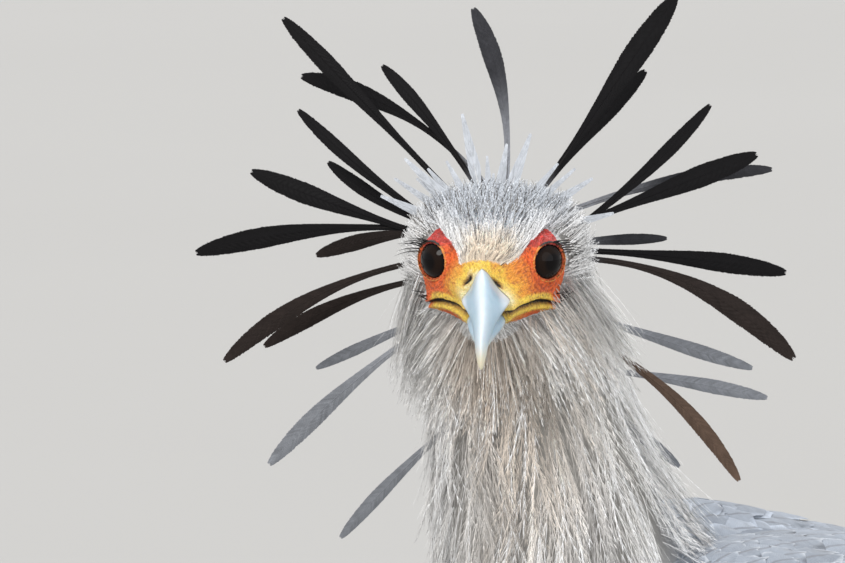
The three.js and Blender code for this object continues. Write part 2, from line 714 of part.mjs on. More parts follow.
const regions = bothSides.map((side) => ({ side, ...eyeRegion(side), mouth: mouthRegion(side) }));
const inHead = (bodies) => bodies.map((body) => moved(body, headPlace));
const billFaces = beyond(vec(0, billAlong, 0), vec(0, 1, 0));
const trimmed = (body) => body.intersect(billFaces);
const faceAdded = regions.flatMap((r) => [r.added, trimmed(r.mouth.added)]);
const faceCut = regions.flatMap((r) => [r.cut, r.mouth.cut]);
const headFeathers = [...crestPlumes.map((p) => plume(p, 3)), ...crownSpikes.map(crownSpike)];
const headBody = joined([fleshNow.intersect(above(headCut, gap / 2)), ...inHead(faceAdded), ...headFeathers])
  .subtract(joined(inHead(faceCut)))
  .subtract(fleshGrown.intersect(below(headCut, shy)));
addNode("head", headBody, finishes.plumage, head);
regions.forEach((r) => {
  addNode(r.side > 0 ? "eye_left" : "eye_right", moved(r.eye, headPlace), finishes.eye, head);
});

const neckFeathers = [...napePlumes.map((p) => plume(p, 12)), ...lockRings(neckAt(0), neckRings, 1)];
const neckBody = joined([
  fleshNow.intersect(below(headCut, -gap / 2)).intersect(above(neckCut, gap / 2)),
  ...neckFeathers,
])
  .subtract(fleshGrown.intersect(above(headCut, -shy)))
  .subtract(fleshGrown.intersect(below(neckCut, shy)));
addNode("neck", neckBody, finishes.throat);

const torsoBody = fleshNow.intersect(below(neckCut, -gap / 2));
addNode("torso", torsoBody, finishes.plumage);

// Bill: both halves run forward from the flat front of the cere
const upperLine = new THREE.CatmullRomCurve3([
  vec(0, -34, -3.6),
  vec(0, -45, -4.4),
  vec(0, -54, -5.6),
  vec(0, -63, -8.6),
  vec(0, -71.5, -13.4),
  vec(0, -78, -20.5),
  vec(0, -80.5, -30),
]);
const upperSizes = profile([
  [0, 10, 9.5],
  [0.18, 9.6, 9.3],
  [0.36, 8.2, 9],
  [0.54, 6.6, 7.9],
  [0.72, 4.9, 6],
  [0.88, 3.1, 3.8],
  [1, 1.6, 1.8],
]);
const lowerLine = new THREE.CatmullRomCurve3([
  vec(0, -34, -18),
  vec(0, -46, -18.4),
  vec(0, -57, -19.6),
  vec(0, -68, -22.6),
]);
const lowerSizes = profile([
  [0, 9.4, 4.2],
  [0.4, 8.8, 4],
  [0.7, 6.4, 3.2],
  [1, 2.6, 1.6],
]);

function billForm(line, sizes, grow, blunt) {
  const section = (t) => {
    const [half, depth] = sizes(t);
    const along = line.getPoint(t + 0.01 > 1 ? 1 : t + 0.01).sub(line.getPoint(Math.max(0, t - 0.01))).normalize();
    const upward = vec(-1, 0, 0).cross(along).normalize();
    return {
      middle: line.getPoint(t),
      across: vec(half + grow, 0, 0),
      upward: upward.multiplyScalar(depth + grow),
    };
  };
  const form = loft({ from: 0, to: 1, around: 10, along: 11, section, blunt });
  return form.intersect(beyond(vec(0, billAlong - gap, 0), vec(0, -1, 0)));
}
const upperBill = billForm(upperLine, upperSizes, 0, 0.45);
const lowerBill = billForm(lowerLine, lowerSizes, 0, 0.4).subtract(billForm(upperLine, upperSizes, 0.6, 0.45));
addNode("bill_upper", moved(upperBill, headPlace), finishes.horn, head);
addNode("bill_lower", moved(lowerBill, headPlace), finishes.horn, head);

// Thighs, shanks, feet and claws, made for the left and mirrored
const clearOfTorso = (body) => body.subtract(fleshGrown);
const thighPlain = clearOfTorso(thighForm(0));
const thighShape = clearOfTorso(joined([thighPlain, ...lockRings(thighAt(0), thighRings, 500)])).subtract(
  beyond(vec(0, 0, shankTop), vec(0, 0, -1)),
);
const shankShape = shankForm()
  .intersect(beyond(vec(0, 0, ankleHeight + gap), vec(0, 0, 1)))
  .intersect(beyond(vec(0, 0, shankTop), vec(0, 0, -1)));
const clawCut = (toe) => {
  const { ahead, point } = toeLine(toe);
  return { at: point(toe.length, 0), ahead };
};
const footShape = toes.reduce((foot, toe) => {
  const { at, ahead } = clawCut(toe);
  return foot.subtract(clawForm(toe, gap).intersect(beyond(at, ahead)));
}, footForm());
for (const side of bothSides) {
  const name = side > 0 ? "left" : "right";
  const sided = (body) => (side > 0 ? body : mirrored(body));
  addNode("thigh_" + name, sided(thighShape), finishes.thigh);
  addNode("shank_" + name, sided(shankShape), finishes.scute);
  addNode("foot_" + name, sided(footShape), finishes.scute);
  for (const toe of toes) {
    const { at, ahead } = clawCut(toe);
    const claw = clawForm(toe, 0).intersect(beyond(at.clone().addScaledVector(ahead, gap), ahead));
    addNode("claw_" + name + "_" + toe.name, sided(claw), finishes.claw);
  }
}

// Tail and wings, each clear of what it lies on
const tailBody = joined([tailCore(0), ...tailVanes()]).subtract(fleshGrown);
addNode("tail", tailBody, finishes.tail);
const wingShape = joined([wingCore(), ...wingVanes()])
  .subtract(fleshGrown)
  .subtract(neckForm(lockRoom))
  .subtract(thighForm(gap))
  .intersect(beyond(vec(0.6, 0, 0), vec(1, 0, 0)));
addNode("wing_left", wingShape.subtract(tailRoom()), finishes.wing);
addNode("wing_right", mirrored(wingShape).subtract(tailRoom()), finishes.wing);

const box = new THREE.Box3().setFromObject(bird, true);
bird.position.set(-(box.min.x + box.max.x) / 2, -(box.min.y + box.max.y) / 2, 0);

export default bird;
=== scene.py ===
# %% [markdown]
# # A secretary bird at life size
# The bird stands still with its crest spread and its head turned to its left. We dress the packed
# model in looks: one skin under everything, then the bare face, the bill, the eyes and the legs, and
# over the skin many thousands of small feathers that follow the lie of the plumage.

# %% Load the frame
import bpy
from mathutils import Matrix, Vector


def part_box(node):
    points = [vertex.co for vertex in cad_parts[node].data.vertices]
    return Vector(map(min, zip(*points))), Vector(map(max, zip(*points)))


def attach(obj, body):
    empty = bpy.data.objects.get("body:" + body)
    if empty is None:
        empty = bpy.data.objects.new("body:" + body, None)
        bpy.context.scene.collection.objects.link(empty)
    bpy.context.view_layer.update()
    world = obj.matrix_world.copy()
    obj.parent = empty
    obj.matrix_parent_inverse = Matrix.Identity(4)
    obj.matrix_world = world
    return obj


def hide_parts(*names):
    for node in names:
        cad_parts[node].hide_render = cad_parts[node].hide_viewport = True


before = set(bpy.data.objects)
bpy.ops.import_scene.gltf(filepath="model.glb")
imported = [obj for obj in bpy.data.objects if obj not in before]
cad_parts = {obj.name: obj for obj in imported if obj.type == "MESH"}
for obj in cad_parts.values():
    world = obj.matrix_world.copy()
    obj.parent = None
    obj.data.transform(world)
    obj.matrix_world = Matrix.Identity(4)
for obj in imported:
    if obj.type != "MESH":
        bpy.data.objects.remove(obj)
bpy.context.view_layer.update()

import copy
import math

import bmesh
import bpy
import numpy as np
from mathutils import Matrix, Vector, noise
from mathutils.kdtree import KDTree

# %% [markdown]
# ## The bird's own millimetres
# It is easier to think of a bird in millimetres from its own middle: the body points along -Y and its
# left is +X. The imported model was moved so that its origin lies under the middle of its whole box, so
# we read that shift back from the torso, whose middle line and tail end we know. The head has a
# frame of its own too, turned and nodding, with the bill along its -Y.

# %% Frames
MM = 0.001
TORSO_END = 226.0
torso_low, torso_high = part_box("torso")
SHIFT = np.array([(torso_low.x + torso_high.x) / 2, torso_high.y - TORSO_END * MM, 0.0])


def turned(about_z, about_x):
    both = Matrix.Rotation(math.radians(about_z), 3, "Z") @ Matrix.Rotation(math.radians(about_x), 3, "X")
    return np.array(both)


HEAD_TURN = turned(35.5, 8)
HEAD_AT = np.array([0.0, -185.0, 950.5])
VIEW_TURN, VIEW_RISE = 40.0, 6.0
FAN_TURN = turned(VIEW_TURN, -VIEW_RISE)
EYE_AT = np.array([19.0, -18.0, 1.5])
EYE_RADIUS = 9.5


def from_head(points):
    return np.asarray(points) @ HEAD_TURN.T + HEAD_AT


def to_head(points):
    return (np.asarray(points) - HEAD_AT) @ HEAD_TURN


def in_metres(points):
    return np.asarray(points) * MM + SHIFT


EYES_MIDDLE = from_head(EYE_AT * [0, 1, 1])
FAN_AT = EYES_MIDDLE + [0, 0, 5.6]


def from_fan(points):
    return np.asarray(points) @ FAN_TURN.T + FAN_AT


print("shift of the bird in metres:", SHIFT.round(4), "eyes at", EYES_MIDDLE.round(1))

# %% [markdown]
# ## Forms
# Every part of the body is described the same way: a table of stations along one axis, with the
# middle and the two half widths there. A smooth curve runs through each column. From that we can ask
# for any point of the surface by station and angle, pushed out as far as we like, and that is what
# the feathers are laid on.

# %% Forms


def smooth_table(rows):
    table = np.array(rows, float)
    places, values = table[:, 0], table[:, 1:]
    slopes = np.gradient(values, places, axis=0)

    def at(place):
        p = np.clip(np.asarray(place, float), places[0], places[-1])
        i = np.clip(np.searchsorted(places, p) - 1, 0, len(places) - 2)
        step = (places[i + 1] - places[i])[..., None]
        t = ((p - places[i]) / (places[i + 1] - places[i]))[..., None]
        start = (2 * t**3 - 3 * t**2 + 1) * values[i] + (t**3 - 2 * t**2 + t) * step * slopes[i]
        return start + (3 * t**2 - 2 * t**3) * values[i + 1] + (t**3 - t**2) * step * slopes[i + 1]

    return at


def unit(vectors):
    return vectors / np.maximum(np.linalg.norm(vectors, axis=-1, keepdims=True), 1e-9)


class Form:
    """A part of the body, lofted along one axis. A row is: station, middle (2), half sizes (2)."""

    def __init__(self, axis, rows, ends, blunt, place=None, back=None, square=2.0):
        self.table = smooth_table(rows)
        self.along = {"y": 1, "z": 2}[axis]
        self.across = {"y": (0, 2), "z": (0, 1)}[axis]
        self.ends = ends
        self.blunt = blunt
        self.power = 2.0 / square
        self.place = place or (lambda p: p)
        self.back = back or (lambda p: p)

    def rounding(self, station):
        low, high = self.ends
        share = np.clip((station - low) / (high - low), 1e-5, 1 - 1e-5)
        return (2 * np.sqrt(share * (1 - share))) ** self.blunt

    def at(self, station, angle, out=0.0):
        station, angle, out = np.broadcast_arrays(np.asarray(station, float), angle, out)
        row = self.table(station)
        full = self.rounding(station)
        points = np.zeros(station.shape + (3,))
        points[..., self.along] = station
        c, s = np.cos(angle), np.sin(angle)
        c, s = np.sign(c) * np.abs(c) ** self.power, np.sign(s) * np.abs(s) ** self.power
        points[..., self.across[0]] = row[..., 0] + (row[..., 2] + out) * full * c
        points[..., self.across[1]] = row[..., 1] + (row[..., 3] + out) * full * s
        return self.place(points)

    def inside(self, points, margin=0.0):
        p = self.back(points)
        station = p[..., self.along]
        row = self.table(station)
        full = self.rounding(station)
        a = (p[..., self.across[0]] - row[..., 0]) / ((row[..., 2] + margin) * full)
        b = (p[..., self.across[1]] - row[..., 1]) / ((row[..., 3] + margin) * full)
        low, high = self.ends
        return (a * a + b * b < 1) & (station > low - margin) & (station < high + margin)


def upright_rows(rows):
    """Rows given as station, top, bottom, half width."""
    return [(s, 0, (top + bottom) / 2, half, (top - bottom) / 2) for s, top, bottom, half in rows]


torso = Form("y", upright_rows([
    (-214, 790, 690, 46),
    (-185, 824, 664, 68),
    (-130, 841, 646, 88),
    (-70, 842, 636, 97),
    (0, 829, 631, 98),
    (60, 811, 634, 90),
    (120, 790, 647, 74),
    (170, 767, 664, 56),
    (226, 738, 684, 34),
]), (-214, TORSO_END), 0.5)

neck = Form("z", [
    (740, 0, -112, 70, 80),
    (780, 0, -119, 63, 76),
    (810, 0, -129, 55, 67),
    (835, 0, -142, 50, 55),
    (860, 0, -151, 46.5, 47),
    (885, 0, -160, 42, 41),
    (914, 0, -171, 38.5, 37),
    (942, 0, -181, 33, 31),
], (690, 990), 0.15)

HEAD_ENDS = (-58, 52)
head = Form("y", upright_rows([
    (-58, 2, -20, 8),
    (-46, 5, -22.5, 10.4),
    (-40, 6.8, -23, 13),
    (-34, 8.5, -23.5, 17),
    (-26, 12.5, -24.5, 22.5),
    (-16, 17, -26, 27.5),
    (-4, 20.5, -28, 32),
    (10, 22.5, -30, 35.5),
    (24, 22, -31, 36),
    (38, 17, -30, 31),
    (50, 6, -24, 19),
]), HEAD_ENDS, 0.3, from_head, to_head, 2.4)

thigh = Form("z", [
    (350, 53, 36, 10.5, 12),
    (385, 53, 35, 11, 13),
    (420, 52.5, 33, 15, 18),
    (470, 52, 28, 20, 26),
    (530, 51, 20, 27, 38),
    (590, 49, 11, 34, 50),
    (640, 46, 4, 39, 60),
    (705, 42, 0, 36, 56),
], (335, 735), 0.1)

WING_ENDS = (-190, 440)
wing = Form("y", [
    (-190, 52, 744, 18, 20),
    (-170, 52, 746, 36, 47),
    (-120, 46, 746, 58, 76),
    (-60, 42, 741, 72, 84),
    (0, 40, 735, 76, 83),
    (80, 38, 728, 68, 74),
    (160, 34, 726, 52, 61),
    (230, 30, 722, 36, 42),
    (300, 27, 712, 22, 27),
    (360, 24, 696, 13, 18),
    (440, 20, 672, 6, 9),
], WING_ENDS, 0.05)

mantle = Form("y", [
    (-170, 0, 757, 30, 66),
    (-120, 0, 768, 40, 68),
    (-60, 0, 772, 44, 66),
    (0, 0, 764, 44, 62),
    (60, 0, 752, 42, 58),
    (120, 0, 738, 38, 50),
    (170, 0, 730, 34, 44),
    (230, 0, 718, 28, 32),
], (-200, 260), 0.1)


def mirror(points):
    return np.asarray(points) * [-1.0, 1.0, 1.0]


def mirrored_form(form):
    twin = copy.copy(form)
    twin.place = lambda points: mirror(form.place(points))
    twin.back = lambda points: form.back(mirror(points))
    return twin


wing_right = mirrored_form(wing)
thigh_right = mirrored_form(thigh)
print("the back is highest at", round(float(mantle.at(-60, math.pi / 2)[2])), "mm")

# %% [markdown]
# ## Making meshes
# A part with one clear shape starts as a circle that we extrude ring by ring along the body and
# resize at every station, the way one would by hand. What repeats by the thousand comes from arrays:
# one small template of corners and faces, placed again and again, and written to one mesh at once.

# %% Mesh helpers


def ready():
    """Object mode, with nothing selected."""
    if bpy.context.object and bpy.context.object.mode != "OBJECT":
        bpy.ops.object.mode_set(mode="OBJECT")
    bpy.ops.object.select_all(action="DESELECT")


def ring_matrix(centre, across, upward):
    """The matrix that lays a unit circle on a ring with these half-size vectors, in metres."""
    across, upward = Vector(across), Vector(upward)
    normal = across.cross(upward).normalized()
    matrix = Matrix((across, upward, normal)).transposed().to_4x4()
    matrix.translation = Vector(centre)
    return matrix


def lofted(name, rings, sides=24):
    """A closed tube: a circle, extruded from ring to ring. A ring is (centre, across, upward)."""
    ready()
    bpy.ops.mesh.primitive_circle_add(vertices=sides, radius=1, fill_type="NGON")
    piece = bpy.context.object
    piece.name = name
    matrices = [ring_matrix(*ring) for ring in rings]
    piece.data.transform(matrices[0])
    bpy.ops.object.mode_set(mode="EDIT")
    bpy.ops.mesh.select_all(action="SELECT")
    for before, after in zip(matrices, matrices[1:]):
        bpy.ops.mesh.extrude_region_move()
        mesh = bmesh.from_edit_mesh(piece.data)
        step = after @ before.inverted()
        for corner in mesh.verts:
            if corner.select:
                corner.co = step @ corner.co
        bmesh.update_edit_mesh(piece.data)
    bpy.ops.mesh.select_all(action="SELECT")
    bpy.ops.mesh.normals_make_consistent(inside=False)
    bpy.ops.object.mode_set(mode="OBJECT")
    return piece


def form_rings(form, stations, depth):
    """Rings for a form's stations, pushed in by a depth, in metres."""
    rings = []
    for station in stations:
        east, north = form.at(station, 0.0, -depth), form.at(station, math.pi / 2, -depth)
        west = form.at(station, math.pi, -depth)
        middle = (east + west) / 2
        rings.append((in_metres(middle), (east - middle) * MM, (north - middle) * MM))
    return rings


def modified(piece, kind, **settings):
    """Adds one modifier with its settings and applies it."""
    ready()
    bpy.context.view_layer.objects.active = piece
    piece.select_set(True)
    made = piece.modifiers.new(kind.title(), kind)
    for key, value in settings.items():
        setattr(made, key, value)
    bpy.ops.object.modifier_apply(modifier=made.name)
    return piece


def just_made(name):
    """The object that was added last, with its name."""
    piece = bpy.context.object
    piece.name = piece.data.name = name
    return piece


def fused(name, parts, voxel, smooth):
    """Joins overlapping parts into one skin by remeshing, then smooths it."""
    ready()
    for part in parts:
        part.select_set(True)
    bpy.context.view_layer.objects.active = parts[0]
    bpy.ops.object.join()
    piece = just_made(name)
    modified(piece, "REMESH", mode="VOXEL", voxel_size=voxel, use_smooth_shade=True)
    modified(piece, "SMOOTH", factor=0.5, iterations=smooth)
    return piece


def corners_of(piece):
    points = np.zeros(len(piece.data.vertices) * 3)
    piece.data.vertices.foreach_get("co", points)
    return points.reshape(-1, 3)


def set_corners(piece, points):
    piece.data.vertices.foreach_set("co", np.asarray(points, float).ravel())
    piece.data.update()


def paint(piece, name, colours):
    """Stores a colour at every corner."""
    layer = piece.data.color_attributes.new(name=name, type="FLOAT_COLOR", domain="POINT")
    rgba = np.ones((len(colours), 4))
    rgba[:, :3] = colours
    layer.data.foreach_set("color", rgba.ravel())


def mesh_piece(name, corners, faces, material):
    """One mesh from arrays in the bird's millimetres. `faces` is a list of arrays of quads or triangles."""
    mesh = bpy.data.meshes.new(name)
    mesh.vertices.add(len(corners))
    mesh.vertices.foreach_set("co", in_metres(corners).ravel())
    loops = np.concatenate([f.ravel() for f in faces]).astype(np.int32)
    sizes = np.concatenate([np.full(len(f), f.shape[1]) for f in faces])
    mesh.loops.add(len(loops))
    mesh.loops.foreach_set("vertex_index", loops)
    mesh.polygons.add(len(sizes))
    mesh.polygons.foreach_set("loop_start", np.concatenate([[0], np.cumsum(sizes)[:-1]]).astype(np.int32))
    mesh.update(calc_edges=True)
    mesh.polygons.foreach_set("use_smooth", np.full(len(sizes), True))
    mesh.materials.append(material)
    piece = bpy.data.objects.new(name, mesh)
    bpy.context.scene.collection.objects.link(piece)
    print(name, "has", sum(len(f) * (f.shape[1] - 2) for f in faces), "triangles")
    return piece


def map_corners(piece, name, places):
    """Writes a UV map that gives each corner one place."""
    loops = np.zeros(len(piece.data.loops), np.int32)
    piece.data.loops.foreach_get("vertex_index", loops)
    piece.data.uv_layers.new(name=name).data.foreach_set("uv", np.asarray(places)[loops].ravel())


def face_count(piece):
    return sum(len(p.vertices) - 2 for p in piece.data.polygons)


def grid_piece(name, columns, rows):
    """A flat grid to wrap round a part, and its corners, which go from -1 to 1 each way."""
    ready()
    bpy.ops.mesh.primitive_grid_add(x_subdivisions=columns, y_subdivisions=rows, size=2)
    piece = just_made(name)
    return piece, corners_of(piece)


def welded(piece, corners):
    """Moves a wrapped grid into place, closes its seam and shades it smooth."""
    set_corners(piece, corners)
    bpy.ops.object.mode_set(mode="EDIT")
    bpy.ops.mesh.select_all(action="SELECT")
    bpy.ops.mesh.remove_doubles(threshold=0.00002)
    bpy.ops.mesh.normals_make_consistent(inside=False)
    bpy.ops.object.mode_set(mode="OBJECT")
    bpy.ops.object.shade_smooth()


def repeated(template, count, per):
    """The faces of a template, again for each of its copies, which have `per` corners each."""
    return (np.arange(count)[:, None, None] * per + template).reshape(-1, template.shape[-1])


def grid_quads(rows, columns):
    grid = np.arange(rows * columns).reshape(rows, columns)
    return np.stack([grid[:-1, :-1], grid[:-1, 1:], grid[1:, 1:], grid[1:, :-1]], -1).reshape(-1, 4)


def tube_faces(count, steps, sides):
    """Faces of closed four-sided tubes whose corners are (tube, step, side)."""
    grid = np.arange(steps * sides).reshape(steps, sides)
    beside = np.roll(grid, -1, axis=1)
    quads = np.stack([grid[:-1], beside[:-1], beside[1:], grid[1:]], -1).reshape(-1, 4)
    quads = np.concatenate([quads, [grid[0][::-1], grid[-1]]])
    return repeated(quads, count, steps * sides)


# %% [markdown]
# ## Laying feathers on a form
# A feather is a line of points from root to tip, each with a direction across and a direction out.
# We ask the form for them: the feather starts at a station and an angle, runs along the form, drifts
# round it a little, and rises off it towards the tip. Rows of feathers are set out evenly by true
# distance round the body, each row shifted by half a feather, as they grow.

# %% Feather frames


def rows_on(form, stations, spacing, angles, seed, jitter=0.25):
    """Stations and angles of staggered rows, evenly spaced by distance round the form."""
    draw = np.random.default_rng(seed)
    where = []
    sweep = np.linspace(angles[0], angles[1], 120)
    for k, station in enumerate(stations):
        points = form.at(station, sweep)
        run = np.concatenate([[0], np.cumsum(np.linalg.norm(np.diff(points, axis=0), axis=1))])
        count = max(2, int(run[-1] / spacing))
        shares = (np.arange(count) + 0.25 + 0.5 * (k % 2)) / count
        shares = np.clip(shares + draw.normal(0, jitter * 0.5, count) / count, 0, 1)
        step = abs(stations[1] - stations[0]) if len(stations) > 1 else spacing
        place = np.full(count, float(station)) + draw.uniform(-jitter, jitter, count) * step
        where.append(np.stack([place, np.interp(shares * run[-1], run, sweep)], 1))
    return np.concatenate(where)


def framed(points, up, across=None):
    """Frames on lines of points: sides square to the line and near `across`, faces towards `up`."""
    along = unit(np.gradient(points, axis=1))
    across = np.cross(along, up) if across is None else across
    side = unit(across - along * np.sum(across * along, -1, keepdims=True))
    face = np.cross(side, along)
    return points, side, face * np.sign(np.sum(face * up, -1, keepdims=True))


def laid(form, where, run, drift, lift, steps):
    """Frames of feathers on a form: points, sides and faces, each (feather, step, 3).
    `run` is how far each goes along the stations, `drift` how far round, `lift` (steps) how far off."""
    t = np.linspace(0, 1, steps)
    station = where[:, :1] + np.reshape(run, (-1, 1)) * t
    angle = where[:, 1:] + np.reshape(drift, (-1, 1)) * t
    round_ = form.at(station, angle + 0.02, lift) - form.at(station, angle - 0.02, lift)
    outward = form.at(station, angle, lift + 1.0) - form.at(station, angle, lift - 1.0)
    return framed(form.at(station, angle, lift), outward, round_)


def tilted(frames, tilt):
    """Rolls each feather's frames about its own line by an angle."""
    points, side, face = frames
    c, s = np.cos(tilt)[:, None, None], np.sin(tilt)[:, None, None]
    return points, side * c + face * s, face * c - side * s


def kept(frames, mask):
    return tuple(part[mask] for part in frames)


# %% [markdown]
# ## Closed and loose feathers
# A closed feather is a vane: a narrow sheet, bowed across, broad in the middle and round at its tip.
# A loose one is a plume: a fine shaft with separate barbs that point to the tip, which gives the
# hairy look of the neck and cheeks. Each carries its colour, its place along and across itself, and a
# small patch on the map that the export bakes into, at the place where its root sits on the skin.

# %% Feather meshes
BAKE_PATCH = 0.003


def root_places(where, low, span, turned_by=0.0):
    """Roots on the skin's unwrap: across by how far round the form, up from `low` over a span."""
    return np.stack([(where[:, 1] / (2 * math.pi) + turned_by) % 1, (where[:, 0] - low) / span], 1)


def feathers_done(piece, roots, places, tone, rim):
    """Writes what each corner carries: its root's place on the skin's unwrap, its own place across and
    along its feather, its colour and the colour for the rim. All feathers ride the body."""
    map_corners(piece, "OFBake", roots * (1 - BAKE_PATCH) + places * BAKE_PATCH)
    map_corners(piece, "Vane", places)
    paint(piece, "tone", tone)
    paint(piece, "rim", rim)
    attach(piece, "root")
    return piece


def vane_feathers(name, frames, half, tone, rim, root_map, cells, camber, ragged, seed):
    """Closed feathers as bowed sheets. `half` is (feather, step) or the same for all; `tone` and `rim`
    are (feather, 3), or (feather, step, 3) where a feather changes along its length."""
    points, side, face = frames
    count, steps = points.shape[:2]
    half = np.broadcast_to(half, (count, steps))[:, :, None]
    wide = cells + 1
    e = np.linspace(-1, 1, wide)
    shares = np.linspace(0, 1, steps)
    along = np.gradient(points, axis=1)
    notch = np.random.default_rng(seed).uniform(-1, 1, (count, steps, wide, 1)) * ragged
    corners = points[:, :, None] + side[:, :, None] * (half * e)[..., None]
    corners = corners - face[:, :, None] * (camber * half * e**2)[..., None]
    corners = corners + along[:, :, None] * notch * shares[:, None, None]
    faces = repeated(grid_quads(steps, wide), count, steps * wide)
    if np.sum(np.cross(side, along) * face) < 0:
        faces = faces[:, ::-1]
    piece = mesh_piece(name, corners.reshape(-1, 3), [faces], vane_finish)
    colours = []
    for colour in (tone, rim):
        colour = colour[:, None, None] if colour.ndim == 2 else colour[:, :, None]
        colours.append(np.broadcast_to(colour, (count, steps, wide, 3)).reshape(-1, 3))
    places = np.tile(np.stack(np.meshgrid((e + 1) / 2, shares), -1).reshape(-1, 2), (count, 1))
    return feathers_done(piece, np.repeat(root_map, steps * wide, axis=0), places, *colours)


def plume_feathers(name, frames, length, tone, rim, root_map, spread, width, shaft, seed):
    """Loose feathers: a shaft and two barbs at each step. `length` is each feather's barb length."""
    points, side, face = frames
    count, steps = points.shape[:2]
    draw = np.random.default_rng(seed)
    along = unit(np.gradient(points, axis=1))
    half_shaft = side * (shaft / 2 * np.linspace(1, 0.25, steps))[:, None]
    corners = [np.stack([points - half_shaft, points + half_shaft], 2).reshape(count, -1, 3)]
    quads, triangles = [grid_quads(steps, 2)], []
    shares = np.linspace(0, 1, steps)
    swell = 0.55 + 0.45 * np.sin(np.pi * np.clip(shares * 0.9 + 0.1, 0, 1))
    reach = (np.broadcast_to(length, (count,))[:, None] * swell)[..., None]
    across = [np.tile([0.46, 0.54], steps)]
    base = steps * 2
    size = (count, steps, 1)
    for sign in (-1.0, 1.0):
        open_ = spread * (1 - 0.45 * shares)[:, None] + draw.uniform(-0.16, 0.16, size)
        rise = draw.uniform(-0.12, 0.2, size)
        away = unit(along * np.cos(open_) + sign * side * np.sin(open_) + face * rise)
        barb = reach * draw.uniform(0.75, 1.15, size)
        thick = unit(np.cross(away, face)) * (width / 2)
        middle = points + away * barb * 0.5
        tip = points + away * barb + along * barb * 0.12 - face * barb * 0.06
        five = [points - thick, points + thick, middle - thick * 0.8, middle + thick * 0.8, tip]
        corners.append(np.stack(five, 2).reshape(count, -1, 3))
        start = base + np.arange(steps)[:, None] * 5
        quads.append(start + [0, 1, 3, 2] if sign > 0 else start + [1, 0, 2, 3])
        triangles.append(start + [2, 3, 4] if sign > 0 else start + [3, 2, 4])
        across.append(np.tile(0.5 + sign * np.array([0.02, 0.02, 0.25, 0.25, 0.5]), steps))
        base += steps * 5
    faces = [repeated(np.concatenate(part), count, base) for part in (quads, triangles)]
    piece = mesh_piece(name, np.concatenate(corners, 1).reshape(-1, 3), faces, plume_finish)
    along_share = np.concatenate([np.repeat(shares, corner_count) for corner_count in (2, 5, 5)])
    places = np.tile(np.stack([np.concatenate(across), along_share], 1), (count, 1))
    roots, tones, rims = (np.repeat(each, base, axis=0) for each in (root_map, tone, rim))
    return feathers_done(piece, roots, places, tones, rims)


# %% [markdown]
# ## Long feathers, barb by barb
# The crest's feathers are seen one by one, so each side of the shaft is a row of slender barbs that
# overlap into a vane. The shaft between them is a thin tapered rod.

# %% Barbed feathers
BARB_SEGMENTS, BARB_OVERLAP = 3, 2.4


def along_frames(part, t):
    """Frames asked between their steps: (feather, step, 3) at places (feather, place)."""
    steps = part.shape[1]
    at = np.clip(t, 0, 1) * (steps - 1)
    low = np.minimum(at.astype(int), steps - 2)
    share = (at - low)[..., None]
    feather = np.arange(len(part))[:, None]
    return part[feather, low] * (1 - share) + part[feather, low + 1] * share


